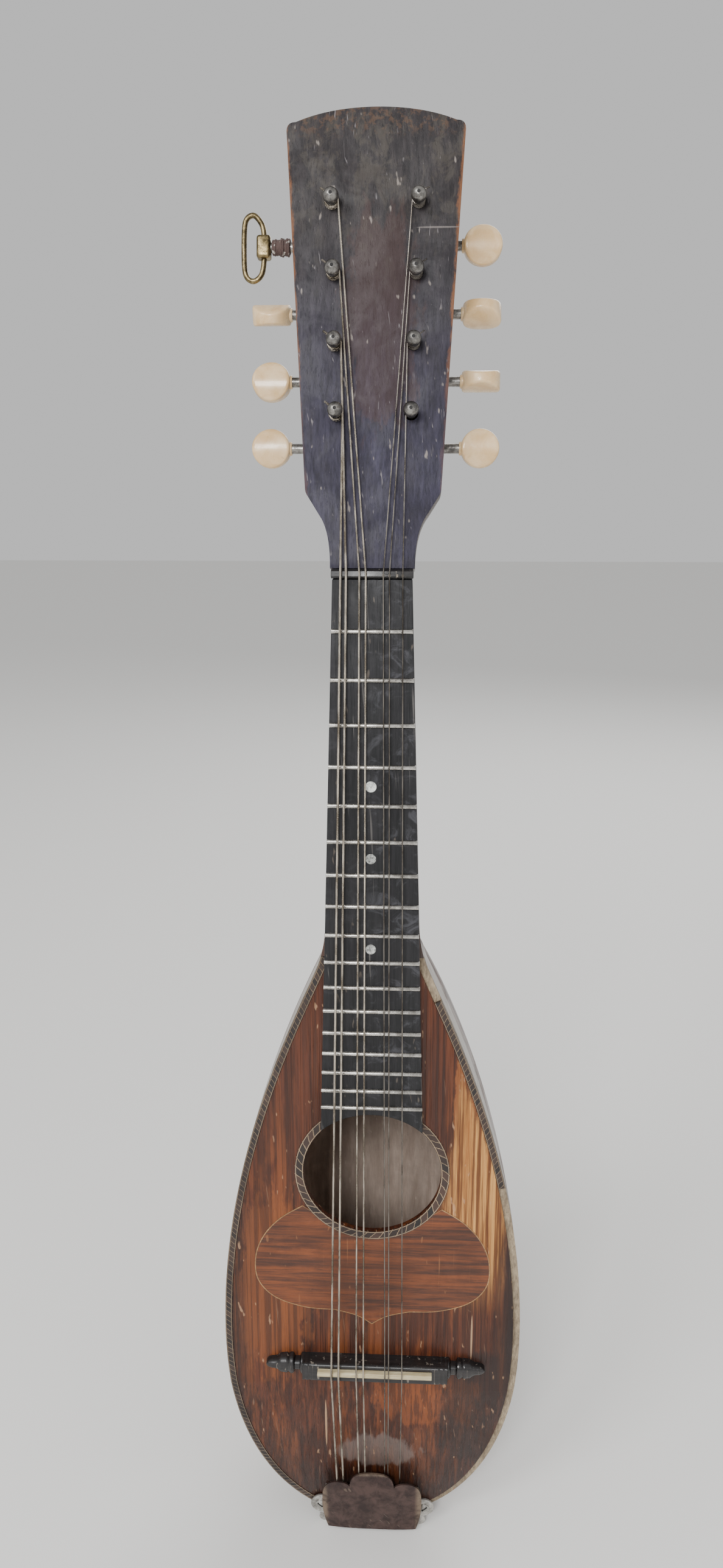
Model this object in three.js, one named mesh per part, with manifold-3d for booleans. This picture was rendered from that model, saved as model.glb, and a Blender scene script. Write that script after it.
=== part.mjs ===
// A small bowl-back mandolin: a ribbed bowl and a canted soundboard, a neck with an angled
// headstock, eight geared string posts and a plate tailpiece with a hinged cover.
// Millimetres, +Z up along the neck, strings on the -Y side, origin on the foot of the tailpiece.
import * as THREE from 'three';
import { mergeVertices } from 'three/addons/utils/BufferGeometryUtils.js';
import Module from 'manifold-3d';

const wasm = await Module();
wasm.setup();

// Gap left between pieces that are glued, seated or resting on each other.
const GAP = 0.3;
// Reach of a cutting block that has to pass right through a piece.
const FAR = 400;

// Scale and frets.
const SCALE = 335;
const SCALE_END_Z = 92;
const FRET_COUNT = 17;
const JOINT_FRET = 10;
const FRET_WIDTH = 2;
const FRET_HEIGHT = 1;
const FRET_SEAT = 0.5;

// Body outline.
const TAIL_Z = 2;
const BODY_HALF_WIDTH = 63;
const WIDEST_Z = 107;
const SHOULDER_LEAD = 7;
const SHOULDER_REACH = 93;
const HIP_REACH = 75;
const TAIL_REACH = 30;
const OUTLINE_STEPS = 14;

// Bowl.
const BODY_DEPTH = 105;
const DEEPEST_Z = 112;
const HEEL_DEPTH = 38;
const SHOULDER_OVERRUN = 8;
const TAIL_ROUNDNESS = 2.3;
const BOWL_FULLNESS = 2.8;
const BOWL_WALL = 2.5;
const RIB_COUNT = 15;
const BOWL_STEPS = 15;
const BOWL_TIP = 2;

// Soundboard: flat down to the cant line, then leaning back to the tail.
const TOP_THICKNESS = 2.5;
const CANT_Z = 80;
const CANT_SLOPE = Math.tan(THREE.MathUtils.degToRad(6));
const HOLE_HALF_WIDTH = 28.4;
const HOLE_HALF_HEIGHT = 27.6;
const RING_WIDTH = 3.5;
const INLAY_THICKNESS = 1.2;
const BINDING_WIDTH = 3;
const BINDING_LOST_ABOVE_HOLE = 78;
const BINDING_LOST_BELOW_HOLE = 7;
const BRACE_WIDTH = 6;
const BRACE_HEIGHT = 9;
const BRACE_FROM_RING = 8;
const BLOCK_DEPTH = 20;

// Pickguard.
const GUARD_MARGIN = 13.8;
const GUARD_TOP_BELOW_HOLE = 16;
const GUARD_ABOVE_SCALE_END = 20;

// Fingerboard, nut and neck.
const NUT_WIDTH = 28.6;
const BOARD_SPREAD = 0.0588;
const BOARD_THICKNESS = 5;
const BOARD_PAST_LAST_FRET = 3.3;
const BOARD_OVER_RING = 1.8;
const NUT_THICKNESS = 3.5;
const NUT_HEIGHT = 6.2;
const NUT_OVERHANG = 0.4;
const NECK_DEPTH = 14;
const NECK_FULLNESS = 2.2;
const HEEL_LENGTH = 45;
const HEEL_CURVE = 2.5;
const HEEL_FLARE = 1.6;
const HEEL_FLARE_LENGTH = 14;
const NECK_STEPS = 10;
const NECK_STEPS_CROWDING = 1.6;
const NECK_SIDES = 20;

// Headstock.
const HEAD_ANGLE = THREE.MathUtils.degToRad(10);
const HEAD_PROUD = 4;
const HEAD_THICKNESS = 13;
const HEAD_LENGTH = 157.2;
const HEAD_HALF_WIDTH = 31;
const HEAD_SHOULDER_HALF_WIDTH = 24.2;
const HEAD_THROAT_Z = 19.5;
const HEAD_SHOULDER_Z = 27.6;
const HEAD_CROWN = 4.7;
const HEAD_CORNER = 3;
const HEAD_THROAT_FLARE = 4.5;
const VENEER_THICKNESS = 1.5;

// Tuning machines, in the headstock's frame.
const POSTS_PER_SIDE = 4;
const POST_SPACING = 23.9;
const LOWEST_POST_Z = 53.9;
const POST_HALF_SPAN = 13.2;
const POST_SPLAY = 0.63;
const POST_RADIUS = 1.9;
const POST_SHOULDER = 3.4;
const POST_BALL_RADIUS = 2.75;
const POST_BALL_HEIGHT = 6;
const POST_SIDES = 8;
const BORE_SIDES = 10;
const POST_WINDING = 0.9;
const GEAR_TEETH = 14;
const GEAR_THICKNESS = 2.4;
const GEAR_TO_WORM = 8.8;
const TOOTH_HEIGHT = 1;
const TOOTH_CLEARANCE = 0.35;
const TOOTH_FOOT_SHARE = 0.25;
const TOOTH_CREST_SHARE = 0.13;
const WORM_CORE_RADIUS = 2.1;
const WORM_THREAD_THICKNESS = 0.6;
const WORM_END = 0.12;
const WORM_TURNS = 1.8;
const THREAD_SHIFT = 0.5;
const SHAFT_RADIUS = 1.8;
const WORM_TO_PLATE = 0.4;
const PLATE_THICKNESS = 1;
const PLATE_HALF_WIDTH = 6.5;
const PLATE_END = 6;
const LUG_THICKNESS = 1.2;
const LUG_CLEARANCE = 0.6;
const LUG_HALF_HEIGHT = 3.2;

// Tuning buttons and the brass loop that stands in for one of them.
const BUTTON_RADIUS = 7;
const BUTTON_BEYOND_HEAD = 7.2;
const BUTTON_THICKNESS = 7;
const BUTTON_RIM = 2.8;
const BUTTON_BORE_DEPTH = 5;
const WRAP_RADIUS = 3;
const COLLAR_BEYOND_BUTTON_CENTRE = 2.9;
const COLLAR_WIDTH = 5.2;
const COLLAR_HALF_HEIGHT = 4.1;
const COLLAR_HALF_DEPTH = 2.6;
const LOOP_WIRE_RADIUS = 1.05;

// Bridge.
const BRIDGE_X = 1.5;
const BRIDGE_ABOVE_SCALE_END = 0.3;
const BRIDGE_BLOCK_HALF_WIDTH = 31;
const BRIDGE_HALF_WIDTH = 46.8;
const BRIDGE_DEPTH = 8.9;
const BRIDGE_HEIGHT = 7.4;
const BRIDGE_WING_HEIGHT = 5;
const BRIDGE_WAIST = 0.62;
const BRIDGE_BEAD = 0.95;
const BRIDGE_TIP = 0.25;
const SADDLE_HALF_WIDTH = 24.2;
const SADDLE_THICKNESS = 2.3;
const SADDLE_HEIGHT = 9.8;
const SADDLE_SEAT = 3;
const SADDLE_OFFSET = 1.3;

// Tailpiece.
const TAIL_PLATE_THICKNESS = 1;
const TAIL_PLATE_HALF_WIDTH = 21;
const TAIL_PLATE_TOP = 22;
const LOBE_OUT = 1.8;
const LOBE_Z = 10.4;
const LOBE_RADIUS = 5;
const SMALL_LOBE_OUT = 0.6;
const SMALL_LOBE_Z = 2.6;
const SMALL_LOBE_RADIUS = 2.5;
const FLANGE_DEPTH = 17;
const FLANGE_THICKNESS = 1;
const COVER_THICKNESS = 0.8;
const COVER_STANDOFF = 5.2;
const COVER_TOP = 34.2;
const COVER_SHOULDER = 28.6;
const COVER_OUT = 1;
const COVER_FOOT_IN = 1.3;
const COVER_LOBE_HALF_WIDTH = 9.4;
const COVER_FOOT = 1.2;
const HINGE_Z = 2.6;
const HINGE_STANDOFF = 2.9;
const KNUCKLE_RADIUS = 1.2;
const KNUCKLE_IN = 6.5;
const EAR_THICKNESS = 2.4;
const PIN_RADIUS = 0.6;

// Strings: [name, place at the nut, place at the saddle, radius, side, post from the top, lift].
const STRING_END_Z = 9.5;
const STRING_TAIL_SPREAD = 0.92;
const STRING_OVER_PLATE = 0.6;
const STRINGS = [
  ['string_g_outer', -11.2, -18.2, 0.45, -1, 4, 1.5],
  ['string_g_inner', -9.2, -15.2, 0.45, -1, 3, 2.6],
  ['string_d_outer', -4.5, -7.7, 0.35, -1, 2, 2.6],
  ['string_d_inner', -2.2, -4.7, 0.35, -1, 1, 2.6],
  ['string_a_inner', 4.0, 4.4, 0.25, 1, 1, 2.6],
  ['string_a_outer', 6.2, 6.0, 0.25, 1, 2, 2.6],
  ['string_e', 10.9, 11.6, 0.25, 1, 3, 2.6],
];

// Places that follow from the sizes above.
const NUT_Z = SCALE_END_Z + SCALE;
const JOINT_Z = fretZ(JOINT_FRET);
const HEAD_Z = NUT_Z + NUT_THICKNESS;
const BOARD_END_Z = fretZ(FRET_COUNT) - BOARD_PAST_LAST_FRET;
const HOLE_Z = BOARD_END_Z - BOARD_OVER_RING - HOLE_HALF_HEIGHT;
const GEAR_TIP_RADIUS = GEAR_TO_WORM - WORM_CORE_RADIUS - TOOTH_CLEARANCE;
const GEAR_ROOT_RADIUS = GEAR_TIP_RADIUS - TOOTH_HEIGHT;
const GEAR_MESH_RADIUS = (GEAR_TIP_RADIUS + GEAR_ROOT_RADIUS) / 2;
const THREAD_PITCH = (2 * Math.PI * GEAR_MESH_RADIUS) / GEAR_TEETH;
const THREAD_CREST_RADIUS = WORM_CORE_RADIUS + TOOTH_HEIGHT;
const THREAD_RADIUS = THREAD_CREST_RADIUS - WORM_THREAD_THICKNESS;
const WORM_TIP_TURNS = WORM_TURNS / 2 + THREAD_SHIFT;
const WORM_HALF_LENGTH = WORM_TIP_TURNS * THREAD_PITCH + WORM_THREAD_THICKNESS + WORM_END;
const PLATE_FRONT = HEAD_THICKNESS + GAP;
const PLATE_BACK = PLATE_FRONT + PLATE_THICKNESS;
const SHAFT_BEHIND_FACE = PLATE_BACK + THREAD_CREST_RADIUS + WORM_TO_PLATE;
const BUTTON_CENTRE_X = HEAD_HALF_WIDTH + BUTTON_BEYOND_HEAD;
const BRIDGE_Z = SCALE_END_Z + BRIDGE_ABOVE_SCALE_END;
const BOWL_RIM_Y = TOP_THICKNESS + GAP;
const SADDLE_Z = BRIDGE_Z + SADDLE_OFFSET;
const FLANGE_FRONT_Y = drop(0) - GAP - TAIL_PLATE_THICKNESS;
const FLANGE_MIDDLE_Y = FLANGE_FRONT_Y + FLANGE_DEPTH / 2;
const HINGE_Y = drop(HINGE_Z) - HINGE_STANDOFF;
const COVER_HALF_WIDTH = TAIL_PLATE_HALF_WIDTH + COVER_OUT;
const COVER_FOOT_HALF_WIDTH = TAIL_PLATE_HALF_WIDTH - COVER_FOOT_IN;
const KNUCKLE_HALF_LENGTH = TAIL_PLATE_HALF_WIDTH - KNUCKLE_IN;
const SIDES = [['left', -1], ['right', 1]];

// Finishes.
const FINISH = {
  spruce: new THREE.MeshStandardMaterial({ color: 0x6a3a20, roughness: 0.55 }),
  rosewood: new THREE.MeshStandardMaterial({ color: 0x4a342a, roughness: 0.45 }),
  walnut: new THREE.MeshStandardMaterial({ color: 0x8a4a1e, roughness: 0.5 }),
  rawWood: new THREE.MeshStandardMaterial({ color: 0xa98559, roughness: 0.85 }),
  ebonised: new THREE.MeshStandardMaterial({ color: 0x1c1a1f, roughness: 0.4 }),
  inlay: new THREE.MeshStandardMaterial({ color: 0x3a2c22, roughness: 0.6 }),
  bone: new THREE.MeshStandardMaterial({ color: 0xd9cda6, roughness: 0.45 }),
  button: new THREE.MeshStandardMaterial({ color: 0xe0c9a0, roughness: 0.3 }),
  steel: new THREE.MeshStandardMaterial({ color: 0x6d6c68, roughness: 0.4, metalness: 1 }),
  wire: new THREE.MeshStandardMaterial({ color: 0x9a948a, roughness: 0.35, metalness: 1 }),
  bronze: new THREE.MeshStandardMaterial({ color: 0x3d3230, roughness: 0.5, metalness: 0.9 }),
  brass: new THREE.MeshStandardMaterial({ color: 0x9c8350, roughness: 0.4, metalness: 1 }),
  thread: new THREE.MeshStandardMaterial({ color: 0x4b3433, roughness: 0.95 }),
};

// Distances along the neck.
function fretZ(number) {
  return SCALE_END_Z + SCALE * 2 ** (-number / 12);
}

function boardHalfWidth(z) {
  return (NUT_WIDTH + (NUT_Z - z) * BOARD_SPREAD) / 2;
}

// How far the canted part of the top has fallen behind the flat part.
function drop(z) {
  return Math.max(0, CANT_Z - z) * CANT_SLOPE;
}

// Closed geometry to solid and back.
function solidOf(geometry) {
  const bare = geometry.clone();
  bare.deleteAttribute('normal');
  bare.deleteAttribute('uv');
  const merged = mergeVertices(bare, 1e-4);
  return new wasm.Manifold(new wasm.Mesh({
    numProp: 3,
    vertProperties: merged.attributes.position.array,
    triVerts: new Uint32Array(merged.index.array),
  }));
}

function geometryOf(solid) {
  const mesh = solid.getMesh();
  const geometry = new THREE.BufferGeometry();
  geometry.setAttribute('position', new THREE.BufferAttribute(mesh.vertProperties, 3));
  geometry.setIndex(new THREE.BufferAttribute(mesh.triVerts, 1));
  geometry.computeVertexNormals();
  return geometry;
}

function meshOf(name, solid, finish) {
  const mesh = new THREE.Mesh(geometryOf(solid), finish);
  mesh.name = name;
  return mesh;
}

// A flat plate: a shape drawn in X and Z, filled from yFront to yBack.
function plate(shape, yFront, yBack, curveSegments = 12) {
  const geometry = new THREE.ExtrudeGeometry(shape, {
    depth: yBack - yFront,
    bevelEnabled: false,
    curveSegments,
  });
  geometry.rotateX(Math.PI / 2);
  geometry.translate(0, yBack, 0);
  return solidOf(geometry);
}

// A bar along X: a section drawn in Y and Z, filled from xLow to xHigh.
function bar(section, xLow, xHigh) {
  const shape = new THREE.Shape(section.map(([y, z]) => new THREE.Vector2(y, z)));
  const geometry = new THREE.ExtrudeGeometry(shape, { depth: xHigh - xLow, bevelEnabled: false });
  const turn = new THREE.Matrix4().makeBasis(
    new THREE.Vector3(0, 1, 0),
    new THREE.Vector3(0, 0, 1),
    new THREE.Vector3(1, 0, 0),
  );
  geometry.applyMatrix4(turn);
  geometry.translate(xLow, 0, 0);
  return solidOf(geometry);
}

function block(xLow, xHigh, yLow, yHigh, zLow, zHigh) {
  const geometry = new THREE.BoxGeometry(xHigh - xLow, yHigh - yLow, zHigh - zLow);
  geometry.translate((xLow + xHigh) / 2, (yLow + yHigh) / 2, (zLow + zHigh) / 2);
  return solidOf(geometry);
}

// Round bars along X and along Y.
function rodX(radius, xLow, xHigh, y, z, sides = 12) {
  const geometry = new THREE.CylinderGeometry(radius, radius, xHigh - xLow, sides);
  geometry.rotateZ(-Math.PI / 2);
  geometry.translate((xLow + xHigh) / 2, y, z);
  return solidOf(geometry);
}

function rodY(radius, yLow, yHigh, x, z, sides = 12) {
  const geometry = new THREE.CylinderGeometry(radius, radius, yHigh - yLow, sides);
  geometry.translate(x, (yLow + yHigh) / 2, z);
  return solidOf(geometry);
}

// A shape from its right half, whose points run from the bottom to the top.
function mirroredShape(half) {
  const left = half.filter((point) => point.x > 0).reverse();
  const mirrored = left.map((point) => new THREE.Vector2(-point.x, point.y));
  return new THREE.Shape([...half, ...mirrored]);
}

function ellipse(halfWidth, halfHeight) {
  return new THREE.Shape().absellipse(0, HOLE_Z, halfWidth, halfHeight, 0, 2 * Math.PI);
}

// The part of a solid below the cant line leans back with the soundboard.
function canted(solid) {
  const upper = solid.intersect(block(-FAR, FAR, -FAR, FAR, CANT_Z, FAR));
  const lower = geometryOf(solid.intersect(block(-FAR, FAR, -FAR, FAR, -FAR, CANT_Z)));
  const lean = new THREE.Matrix4().set(
    1, 0, 0, 0,
    0, 1, -CANT_SLOPE, CANT_SLOPE * CANT_Z,
    0, 0, 1, 0,
    0, 0, 0, 1,
  );
  lower.applyMatrix4(lean);
  return upper.add(solidOf(lower));
}

// Everything in front of the plane that lies y behind the soundboard's face.
function spaceInFront(y) {
  return bar([
    [-FAR, -FAR],
    [y + drop(-FAR), -FAR],
    [y, CANT_Z],
    [y, 2 * FAR],
    [-FAR, 2 * FAR],
  ], -FAR, FAR);
}

// Body outline, from the tail to the neck joint.
function outlineCurves() {
  const jointHalf = boardHalfWidth(JOINT_Z) + HEEL_FLARE;
  const hip = new THREE.CubicBezierCurve(
    new THREE.Vector2(0, TAIL_Z),
    new THREE.Vector2(TAIL_REACH, TAIL_Z),
    new THREE.Vector2(BODY_HALF_WIDTH, WIDEST_Z - HIP_REACH),
    new THREE.Vector2(BODY_HALF_WIDTH, WIDEST_Z),
  );
  const shoulder = new THREE.CubicBezierCurve(
    new THREE.Vector2(BODY_HALF_WIDTH, WIDEST_Z),
    new THREE.Vector2(BODY_HALF_WIDTH, WIDEST_Z + SHOULDER_REACH),
    new THREE.Vector2(jointHalf, JOINT_Z - SHOULDER_LEAD),
    new THREE.Vector2(jointHalf, JOINT_Z),
  );
  return [hip, shoulder];
}

function halfOutline(inset) {
  const points = [];
  for (const curve of outlineCurves()) {
    for (let i = points.length ? 1 : 0; i <= OUTLINE_STEPS; i += 1) {
      const along = curve.getTangent(i / OUTLINE_STEPS);
      const inward = new THREE.Vector2(-along.y, along.x).multiplyScalar(inset);
      const point = curve.getPoint(i / OUTLINE_STEPS).add(inward);
      point.x = Math.max(0, point.x);
      points.push(point);
    }
  }
  return points;
}

function bodyHalfWidth(z) {
  const points = halfOutline(0);
  const next = points.findIndex((point) => point.y >= z);
  if (next < 0) return points[points.length - 1].x;
  if (next === 0) return 0;
  const low = points[next - 1];
  const high = points[next];
  return THREE.MathUtils.mapLinear(z, low.y, high.y, low.x, high.x);
}

function bodyDepth(z) {
  if (z < DEEPEST_Z) {
    const along = Math.min(1, (DEEPEST_Z - z) / (DEEPEST_Z - TAIL_Z));
    return BODY_DEPTH * (1 - along ** TAIL_ROUNDNESS) ** (1 / TAIL_ROUNDNESS);
  }
  const run = JOINT_Z + SHOULDER_OVERRUN - DEEPEST_Z;
  const fall = (at) => 1 - Math.sqrt(Math.max(0, 1 - (at / run) ** 2));
  const share = fall(z - DEEPEST_Z) / fall(JOINT_Z - DEEPEST_Z);
  return BODY_DEPTH - (BODY_DEPTH - HEEL_DEPTH) * Math.min(1, share);
}

// A solid swept up the Z axis whose level sections are super-ellipses.
// sectionAt(share) gives each level's height, half width, half depth.
function sweptBlank(sectionAt, sides, steps, fullness) {
  const geometry = new THREE.CylinderGeometry(1, 1, 1, sides, steps);
  geometry.rotateX(Math.PI / 2);
  const position = geometry.attributes.position;
  const power = 2 / fullness;
  const soften = (value) => Math.sign(value) * Math.abs(value) ** power;
  for (let i = 0; i < position.count; i += 1) {
    const radius = Math.hypot(position.getX(i), position.getY(i));
    const inside = radius < 0.5;
    const cosine = inside ? 0 : position.getX(i) / radius;
    const sine = inside ? 0 : position.getY(i) / radius;
    const [z, halfWidth, halfDepth] = sectionAt(position.getZ(i) + 0.5);
    const snap = (value) => (Math.abs(value) < 1e-6 ? 0 : soften(value));
    position.setXYZ(i, halfWidth * snap(cosine), halfDepth * snap(sine), z);
  }
  return solidOf(geometry);
}

function bowlBlank(inset, endZ) {
  const startZ = TAIL_Z + inset;
  const sectionAt = (share) => {
    const z = startZ + (endZ - startZ) * (1 - Math.cos((share * Math.PI) / 2));
    const halfWidth = Math.max(BOWL_TIP, bodyHalfWidth(z) - inset);
    const halfDepth = Math.max(BOWL_TIP, bodyDepth(z) - inset);
    return [z, halfWidth, halfDepth];
  };
  return sweptBlank(sectionAt, 2 * RIB_COUNT, BOWL_STEPS, BOWL_FULLNESS);
}

function bowl() {
  const shell = bowlBlank(0, JOINT_Z).subtract(bowlBlank(BOWL_WALL, JOINT_Z + 1));
  return shell.subtract(spaceInFront(BOWL_RIM_Y));
}

// Inner pieces are cut to the inside of the bowl, a gap clear of its wall.
function insideBowl(piece) {
  const room = bowlBlank(BOWL_WALL + GAP, JOINT_Z).subtract(spaceInFront(BOWL_RIM_Y));
  return room.intersect(piece);
}

function neckBlock() {
  return insideBowl(block(-FAR, FAR, 0, FAR, JOINT_Z - BLOCK_DEPTH, JOINT_Z));
}

function tailBlock() {
  return insideBowl(block(-FAR, FAR, 0, FAR, 0, TAIL_Z + BLOCK_DEPTH));
}

function brace(z) {
  const back = BOWL_RIM_Y + BRACE_HEIGHT;
  return insideBowl(block(-FAR, FAR, 0, back, z - BRACE_WIDTH / 2, z + BRACE_WIDTH / 2));
}

// Pickguard outline: wings beside the soundhole, a scalloped foot with a point in the middle.
function guardShape(grow) {
  const halfWidth = BODY_HALF_WIDTH - GUARD_MARGIN + grow;
  const foot = SCALE_END_Z + GUARD_ABOVE_SCALE_END - grow;
  const height = HOLE_Z - GUARD_TOP_BELOW_HOLE + grow - foot;
  const at = ([across, up]) => new THREE.Vector2(across * halfWidth, foot + up * height);
  const scallop = new THREE.SplineCurve([[0, 0], [0.13, 0.07], [0.32, 0.115]].map(at));
  const wing = new THREE.SplineCurve([
    [0.32, 0.115], [0.58, 0.13], [0.84, 0.21], [0.985, 0.36],
    [1, 0.56], [0.925, 0.74], [0.78, 0.89], [0.59, 1],
  ].map(at));
  const top = new THREE.Vector2(0, foot + height);
  return mirroredShape([...scallop.getPoints(6), ...wing.getPoints(20).slice(1), top]);
}

function pickguard() {
  const ring = ellipse(HOLE_HALF_WIDTH + RING_WIDTH + GAP, HOLE_HALF_HEIGHT + RING_WIDTH + GAP);
  return plate(guardShape(0), 0, INLAY_THICKNESS).subtract(plate(ring, -1, TOP_THICKNESS));
}

function soundholeRing() {
  const outer = ellipse(HOLE_HALF_WIDTH + RING_WIDTH, HOLE_HALF_HEIGHT + RING_WIDTH);
  const hole = ellipse(HOLE_HALF_WIDTH, HOLE_HALF_HEIGHT);
  return plate(outer, 0, INLAY_THICKNESS).subtract(plate(hole, -1, TOP_THICKNESS));
}

// The strip between the body's edge and a line inset from it.
function edgeStrip(width, yFront, yBack) {
  const whole = plate(mirroredShape(halfOutline(0)), yFront, yBack);
  const inner = plate(mirroredShape(halfOutline(width)), yFront - 1, yBack + 1);
  return whole.subtract(inner);
}

function soundboard() {
  const pocket = INLAY_THICKNESS + GAP;
  const hole = ellipse(HOLE_HALF_WIDTH, HOLE_HALF_HEIGHT);
  const ringSeat = ellipse(
    HOLE_HALF_WIDTH + RING_WIDTH + GAP,
    HOLE_HALF_HEIGHT + RING_WIDTH + GAP,
  );
  const board = plate(mirroredShape(halfOutline(0)), 0, TOP_THICKNESS)
    .subtract(plate(hole, -1, TOP_THICKNESS + 1))
    .subtract(plate(ringSeat, -1, pocket))
    .subtract(plate(guardShape(GAP), -1, pocket))
    .subtract(edgeStrip(BINDING_WIDTH, -1, pocket));
  return canted(board);
}

// Edge binding: whole on the left, partly lost on the right.
function binding(side, zLow, zHigh) {
  const strip = edgeStrip(BINDING_WIDTH - GAP, 0, INLAY_THICKNESS);
  const near = side * GAP;
  const far = side * FAR;
  const keep = block(Math.min(near, far), Math.max(near, far), -1, FAR, zLow, zHigh);
  return canted(strip.intersect(keep));
}

function fret(number) {
  const z = fretZ(number);
  const half = boardHalfWidth(z);
  const crown = -BOARD_THICKNESS - FRET_HEIGHT;
  return bar([
    [-BOARD_THICKNESS + FRET_SEAT, z - FRET_WIDTH / 2],
    [-BOARD_THICKNESS, z - FRET_WIDTH / 2],
    [crown, z - FRET_WIDTH / 4],
    [crown, z + FRET_WIDTH / 4],
    [-BOARD_THICKNESS, z + FRET_WIDTH / 2],
    [-BOARD_THICKNESS + FRET_SEAT, z + FRET_WIDTH / 2],
  ].reverse(), -half, half);
}

function fingerboard() {
  const top = NUT_Z - GAP;
  const foot = HOLE_Z + HOLE_HALF_HEIGHT / 2;
  const shape = mirroredShape([
    new THREE.Vector2(boardHalfWidth(foot), foot),
    new THREE.Vector2(boardHalfWidth(top), top),
  ]);
  const end = ellipse(HOLE_HALF_WIDTH + BOARD_OVER_RING, HOLE_HALF_HEIGHT + BOARD_OVER_RING);
  let board = plate(shape, -BOARD_THICKNESS, 0)
    .subtract(plate(end, -BOARD_THICKNESS - 1, 1));
  for (let number = 1; number <= FRET_COUNT; number += 1) {
    board = board.add(fret(number));
  }
  return board;
}

// The headstock's frame: its face leans back from the nut.
const head = new THREE.Group();
head.position.set(0, -HEAD_PROUD, HEAD_Z);
head.rotation.x = -HEAD_ANGLE;
head.updateMatrix();

function headSpace() {
  const geometry = new THREE.BoxGeometry(FAR, FAR, FAR);
  geometry.translate(0, 0, FAR / 2 - GAP);
  geometry.applyMatrix4(head.matrix);
  return solidOf(geometry);
}

function nut() {
  const half = NUT_WIDTH / 2 + NUT_OVERHANG;
  return block(-half, half, -NUT_HEIGHT, 0, NUT_Z, HEAD_Z).subtract(headSpace());
}

function neckDepth(z) {
  const into = THREE.MathUtils.clamp((JOINT_Z + HEEL_LENGTH - z) / HEEL_LENGTH, 0, 1);
  return NECK_DEPTH + (HEEL_DEPTH - NECK_DEPTH) * into ** HEEL_CURVE;
}

function heelFlare(z) {
  const into = THREE.MathUtils.clamp(1 - (z - JOINT_Z) / HEEL_FLARE_LENGTH, 0, 1);
  return HEEL_FLARE * into * into;
}

function neck() {
  const startZ = JOINT_Z + GAP;
  const endZ = HEAD_Z + HEAD_PROUD;
  const sectionAt = (share) => {
    const z = startZ + (endZ - startZ) * share ** NECK_STEPS_CROWDING;
    return [z, boardHalfWidth(z) + heelFlare(z), neckDepth(z)];
  };
  const blank = sweptBlank(sectionAt, NECK_SIDES, NECK_STEPS, NECK_FULLNESS);
  return blank.subtract(block(-FAR, FAR, -FAR, 0, 0, 2 * FAR)).subtract(headSpace());
}

// Headstock outline in its own frame: a curved throat, spreading sides and a crowned top.
function headShape() {
  const throat = NUT_WIDTH / 2 + 2 * NUT_OVERHANG;
  const side = HEAD_SHOULDER_HALF_WIDTH;
  const cornerZ = HEAD_LENGTH - HEAD_CROWN;
  const path = new THREE.Path();
  path.moveTo(throat, 0);
  path.bezierCurveTo(
    throat, HEAD_THROAT_Z / 2,
    throat + HEAD_THROAT_FLARE / 3, HEAD_THROAT_Z * 0.8,
    throat + HEAD_THROAT_FLARE, HEAD_THROAT_Z,
  );
  path.lineTo(side - 1, HEAD_SHOULDER_Z - 2.5);
  path.quadraticCurveTo(side, HEAD_SHOULDER_Z - 1, side, HEAD_SHOULDER_Z + 1);
  path.lineTo(HEAD_HALF_WIDTH, cornerZ - HEAD_CORNER);
  path.quadraticCurveTo(HEAD_HALF_WIDTH, cornerZ, HEAD_HALF_WIDTH - HEAD_CORNER, cornerZ);
  path.quadraticCurveTo(HEAD_HALF_WIDTH / 2, HEAD_LENGTH, 0, HEAD_LENGTH);
  return mirroredShape(path.getPoints(6));
}

// Post places in the headstock's frame; the rows spread a little towards the top.
function postX(side, index) {
  return side * (POST_HALF_SPAN + (POSTS_PER_SIDE - index) * POST_SPLAY);
}

function postZ(index) {
  return LOWEST_POST_Z + (POSTS_PER_SIDE - index) * POST_SPACING;
}

function eachPost(visit) {
  for (const [word, side] of SIDES) {
    for (let index = 1; index <= POSTS_PER_SIDE; index += 1) {
      visit(word, side, index);
    }
  }
}

function withPostHoles(solid, radius) {
  let drilled = solid;
  eachPost((word, side, index) => {
    const hole = rodY(radius, -1, FAR, postX(side, index), postZ(index), POST_SIDES);
    drilled = drilled.subtract(hole);
  });
  return drilled;
}

function headVeneer() {
  return withPostHoles(plate(headShape(), 0, VENEER_THICKNESS), POST_RADIUS + 2 * GAP);
}

function headstock() {
  const core = plate(headShape(), VENEER_THICKNESS + GAP, HEAD_THICKNESS);
  return withPostHoles(core, POST_RADIUS + 3 * GAP);
}

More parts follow.
